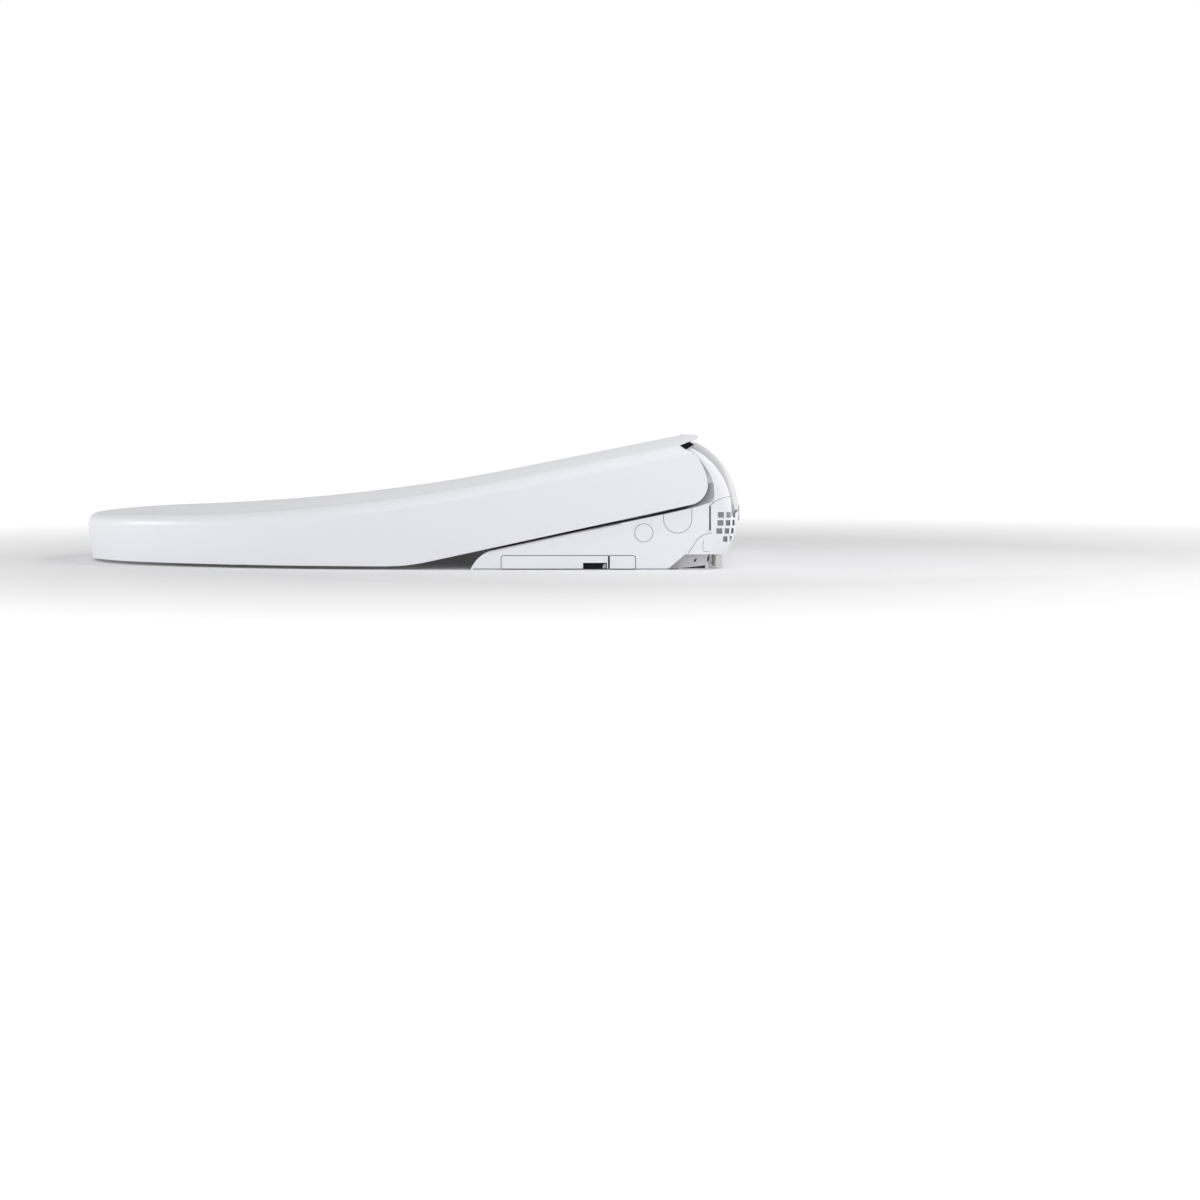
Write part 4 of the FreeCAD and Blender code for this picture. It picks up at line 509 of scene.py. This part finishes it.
def hollow_shade_sheet(name, side):
    """Points between the two edges in even steps, on two layers a fifth of a millimetre apart."""
    inner, rim = smooth_path(UNDER_LID, ALONG), smooth_path(HOLLOW_RIM, ALONG)
    share = np.linspace(0.0, 1.0, ACROSS)
    sheet = (inner[:, None, :] * (1 - share[None, :, None])
             + rim[:, None, :] * share[None, :, None])
    front, back = (np.dstack((np.full(sheet.shape[:2], side * (COVER_SIDE + lift * MM)), sheet))
                   for lift in (HOLLOW_FRONT, HOLLOW_BACK))
    loops = two_layers(front, back)
    thing = joined(name, loops, HOLLOW_SHADE, "main_unit", flip=side < 0)
    shade = hollow_shade(loops, np.concatenate((share, share[::-1]))[None, :])
    thing.data.attributes.new("shade", "FLOAT", "POINT")
    thing.data.attributes["shade"].data.foreach_set("value", shade.astype(np.float32).ravel())


# The thin grey line up the edge of the hollow, towards the lid's corner, is painted shade too.
RIM_LINE = [(26.9, 66.2), (25.4, 70.8), (22.4, 75.2), (19.0, 78.9), (13.2, 86.4)]
RIM_LINE_WIDE, RIM_LINE_LIFT = 0.3, 0.05
rim_path = smooth_path(RIM_LINE, 40)
for label, side in SIDES.items():
    hollow_shade_sheet("tail_hollow_shade_" + label, side)
    strip("hollow_rim_shade_" + label, rim_path, RIM_LINE_WIDE, "main_unit", side,
          lift=RIM_LINE_LIFT, finish=GREY_SHADE)

# %% [markdown]
# The vent's holes go right through the cover. A few millimetres behind them stands a grey liner,
# bent like the cover, so that the holes look shallow. Its grey is painted shade, for the dark inside
# the holes.

# %% The liner behind the vent
LINER_ALONG, LINER_UP = (27.0, 43.5), (17.0, 50.0)
LINER_ROWS, LINER_COLUMNS = 24, 16
LINER_DEPTH, LINER_THICK, LINER_INSET = 3.0, 0.3, 3.6


def vent_liner(name):
    """The cover's side height less a depth, on a grid over the holes, in two layers."""
    along, up = np.meshgrid(np.linspace(*LINER_ALONG, LINER_COLUMNS),
                            np.linspace(*LINER_UP, LINER_ROWS))
    place = np.stack((along, up), axis=-1) * MM
    away = np.linalg.norm(place - DOME, axis=-1)
    most = DOME_RADIUS - LINER_INSET * MM
    place = DOME + (place - DOME) * np.minimum(1.0, most / away)[..., None]
    outward = side_height(place.reshape(-1, 2)).reshape(LINER_ROWS, LINER_COLUMNS)
    front = np.dstack((outward - LINER_DEPTH * MM, place))
    back = np.dstack((outward - (LINER_DEPTH + LINER_THICK) * MM, place))
    return joined(name, two_layers(front, back), GREY_SHADE, "main_unit")


liner = vent_liner("vent_liner")
print("liner behind the vent:", liner.name)

# %% [markdown]
# The lid's top plate overhangs its side wall at the rear corner, and the dark under the overhang
# shows as a small black diamond. That shade is painted: a black sheet sits in the corner. A flat
# diamond would sink into the lid's rounded shoulder, so the sheet is a grid that follows it: a
# quarter circle of 9 mm under a top line that rises 1 in 5.

# %% The painted shade in the lid's corners
# Black of painted shade, for the dark under the lid plate's overhang.
CORNER_SHADE = plastic("corner_painted_shade", (0.006, 0.006, 0.008), drift=0.002, gloss=(0.7, 0.85),
                       shine=0.1)
SHOULDER, SHOULDER_OUT = 9.0, 191.04
LID_TOP, LID_RISE = 96.3, 0.2
DIAMOND_CORNERS = np.array([(1.6, 95.3), (8.9, 98.2), (12.6, 96.3), (6.0, 92.3)])
DIAMOND_STEPS, DIAMOND_PROUD, DIAMOND_DEEP, DIAMOND_LEAST = 9, 0.35, 1.2, 0.2


def corner_shade_sheet(name, side):
    """A grid between four corners, laid over the shoulder's circle, with a wall and a back."""
    u, v = np.meshgrid(np.linspace(0, 1, DIAMOND_STEPS), np.linspace(0, 1, DIAMOND_STEPS), indexing="ij")
    u, v = u[..., None], v[..., None]
    place = ((1 - u) * (1 - v) * DIAMOND_CORNERS[0] + u * (1 - v) * DIAMOND_CORNERS[1]
             + u * v * DIAMOND_CORNERS[2] + (1 - u) * v * DIAMOND_CORNERS[3])
    depth = np.clip(LID_TOP + LID_RISE * place[..., 0] - place[..., 1], DIAMOND_LEAST, SHOULDER)
    outward = SHOULDER_OUT - SHOULDER + np.sqrt(SHOULDER ** 2 - (SHOULDER - depth) ** 2)
    front = np.dstack((side * (outward + DIAMOND_PROUD), place)) * MM
    back = np.dstack((side * (outward - DIAMOND_DEEP), place)) * MM
    joined(name, two_layers(front, back), CORNER_SHADE, "lid", flip=side < 0, slot="soft_rubber")


for label, side in SIDES.items():
    corner_shade_sheet("lid_corner_shade_" + label, side)
print("pads on the lid's corners:", len(SIDES))

# %% [markdown]
# Each dome has a slot at its rim for the arms that the seat and the lid turn on. Behind the slot,
# the end of the rear case would look like a step. On the real one that end is rounded over. The
# frame's own mesh stays as it is, so a trim ring goes on it: a quarter ellipse carried round the
# dome, which thins out towards the top, where the seat's arm swings through.

# %% The trim rings on the ends of the rear case
# A shaded copy of the shell's white: painted darker, so that the ring, which catches more light than the shell
# around it, shows no lighter.
TRIM_SHADED_WHITE = plastic("trim_white_painted_darker", (0.70, 0.70, 0.72), gloss=(0.36, 0.42))
CASE_END = 168.05
RING_IN, RING_OUT = 54.2, 59.4
RING_TALL, RING_LEAST = 7.3, 0.5
RING_TURN, RING_EASE = (1.0, 68.0), (45.0, 36.0)
RING_AROUND, RING_OVER, RING_SHARP = 70, 9, 0.9


def trim_ring(name, side):
    """Radius from the dome's centre and height over the case's end, for each angle round it."""
    degrees = np.linspace(*RING_TURN, RING_AROUND)[:, None]
    ease = np.clip((RING_EASE[0] - degrees) / RING_EASE[1], 0.0, 1.0)
    tall = RING_LEAST + (RING_TALL - RING_LEAST) * ease * ease * (3 - 2 * ease)
    arc = np.linspace(0.0, np.pi / 2, RING_OVER)[None, :]
    radius = np.broadcast_to(RING_IN + (RING_OUT - RING_IN) * np.sin(arc), (RING_AROUND, RING_OVER))
    height = CASE_END + tall * np.cos(arc)
    radius = np.hstack((np.full((RING_AROUND, 1), RING_IN), radius))
    height = np.hstack((np.full((RING_AROUND, 1), CASE_END), height))
    angle = np.radians(degrees)
    loops = np.dstack((side * height * MM, DOME[0] + radius * MM * np.cos(angle),
                       DOME[1] + radius * MM * np.sin(angle)))
    joined(name, loops, TRIM_SHADED_WHITE, "main_unit", flip=side < 0, slot="gloss_shell",
           sharp=RING_SHARP)


for label, side in SIDES.items():
    trim_ring("dome_trim_" + label, side)
print("trim rings:", len(SIDES))

# %% [markdown]
# ## The studio
#
# A white object on a white ground is mostly lit by its surroundings, so these decide its tones. The
# sides of such a seat look pale and even, and its level top is greyer towards the front. A sky that
# is bright at the horizon and dim overhead gives that: an upright face sees the bright band, and a
# level face sees the dim part. The floor shines a little itself, so that it stays near white.

# %% The floor
STUDIO_REACH = 6.0
PAPER_PATCHES, PAPER_ROUGH = 3.0, 0.9
floor_mesh = bpy.data.meshes.new("studio_floor")
floor_mesh.from_pydata([(-STUDIO_REACH, -STUDIO_REACH, 0), (STUDIO_REACH, -STUDIO_REACH, 0),
                        (STUDIO_REACH, STUDIO_REACH, 0), (-STUDIO_REACH, STUDIO_REACH, 0)],
                       [], [(0, 1, 2, 3)])
floor = bpy.data.objects.new("studio_floor", floor_mesh)
bpy.context.scene.collection.objects.link(floor)
paper, paper_tree, paper_shader = new_material("studio_paper")
tint(paper_tree, paper_shader, noise(paper_tree, PAPER_PATCHES), (0.86, 0.86, 0.87),
     (0.84, 0.84, 0.85))
paper_shader.inputs["Roughness"].default_value = PAPER_ROUGH
paper_shader.inputs["Emission Color"].default_value = WHITE
floor_mesh.materials.append(paper)
print("floor reaches", STUDIO_REACH, "m each way")

# %% The floor's own light, which is faint near the object and grows outwards
GLOW_NEAR, GLOW_FAR = 0.03, 0.6
GLOW_START, GLOW_END = 0.4, 1.1
paper_place = add(paper_tree, "ShaderNodeTexCoord")
paper_reach = add(paper_tree, "ShaderNodeVectorMath")
paper_reach.operation = "LENGTH"
paper_glow = add(paper_tree, "ShaderNodeMapRange", From_Min=GLOW_START, From_Max=GLOW_END,
                 To_Min=GLOW_NEAR, To_Max=GLOW_FAR)
paper_tree.links.new(paper_place.outputs["Object"], paper_reach.inputs[0])
paper_tree.links.new(paper_reach.outputs["Value"], paper_glow.inputs["Value"])
paper_tree.links.new(paper_glow.outputs["Result"], paper_shader.inputs["Emission Strength"])
print("floor's glow runs from", GLOW_NEAR, "to", GLOW_FAR)

# %% The sky, bright at the horizon and dim overhead
SKY_HORIZON, SKY_OVERHEAD = 1.02, 0.35
SKY_FALL_START, SKY_FALL_END = 0.08, 0.6
world = bpy.data.worlds.new("studio")
bpy.context.scene.world = world
world.use_nodes = True
sky_tree = world.node_tree
backdrop = sky_tree.nodes["Background"]
backdrop.inputs["Color"].default_value = WHITE
direction = add(sky_tree, "ShaderNodeTexCoord")
height = add(sky_tree, "ShaderNodeSeparateXYZ")
fall = add(sky_tree, "ShaderNodeMapRange", From_Min=SKY_FALL_START, From_Max=SKY_FALL_END,
           To_Min=SKY_HORIZON, To_Max=SKY_OVERHEAD)
sky_tree.links.new(direction.outputs["Generated"], height.inputs["Vector"])
sky_tree.links.new(height.outputs["Z"], fall.inputs["Value"])
sky_tree.links.new(fall.outputs["Result"], backdrop.inputs["Strength"])
bpy.context.scene.view_settings.view_transform = "Standard"
print("sky strength runs from", SKY_HORIZON, "at the horizon to", SKY_OVERHEAD, "overhead")

# %% [markdown]
# Four large soft lights lift what the sky leaves flat. The ones in front and at the side give the
# lid's edge its glow, and the ones behind and above the rear show the dome's roundness. A large
# light far away throws soft shadows, as a studio's paper panels do.

# %% The lights: place, target, size and power of each
MIDDLE = (0.0, -0.2, 0.05)
REAR_TOP = (0.0, 0.0, 0.08)
LIGHTS = {
    "front_light": ((0.8, -6.0, 1.0), MIDDLE, (2.4, 1.0), 90.0),
    "side_light": ((5.0, -0.6, 1.6), MIDDLE, (4.0, 2.6), 46.0),
    "back_light": ((1.8, 4.5, 1.6), MIDDLE, (2.0, 1.2), 26.0),
    "rear_top_light": ((0.25, 0.45, 0.75), REAR_TOP, (0.5, 0.3), 3.3),
}


def facing(place, target):
    """The turn that points an object's -Z at the target, with its Y upwards."""
    return (Vector(target) - Vector(place)).to_track_quat("-Z", "Y").to_euler()


for name, (place, target, size, power) in LIGHTS.items():
    lamp = bpy.data.lights.new(name, "AREA")
    lamp.shape = "RECTANGLE"
    lamp.size, lamp.size_y = size
    lamp.energy = power
    thing = bpy.data.objects.new(name, lamp)
    thing.location = place
    thing.rotation_euler = facing(place, target)
    bpy.context.scene.collection.objects.link(thing)
print("lights:", list(LIGHTS))

# %% [markdown]
# The camera stands a little higher than the lid, far to the left of the sitter. Its lens is long,
# so the side shows almost without perspective.

# %% The camera
EYE, AIM = (3.1, -0.0596, 0.143), (0.0, -0.0596, -0.0337)
LENS, SENSOR = 114.2, 36.0
lens = bpy.data.cameras.new("side_view")
lens.lens = LENS
lens.sensor_width = SENSOR
camera = bpy.data.objects.new("side_view", lens)
camera.location = EYE
camera.rotation_euler = facing(EYE, AIM)
bpy.context.scene.collection.objects.link(camera)
bpy.context.scene.camera = camera
print("camera distance, in metres:", round((Vector(AIM) - Vector(EYE)).length, 3))

# %% [markdown]

# %% The end
print("end of the scene")
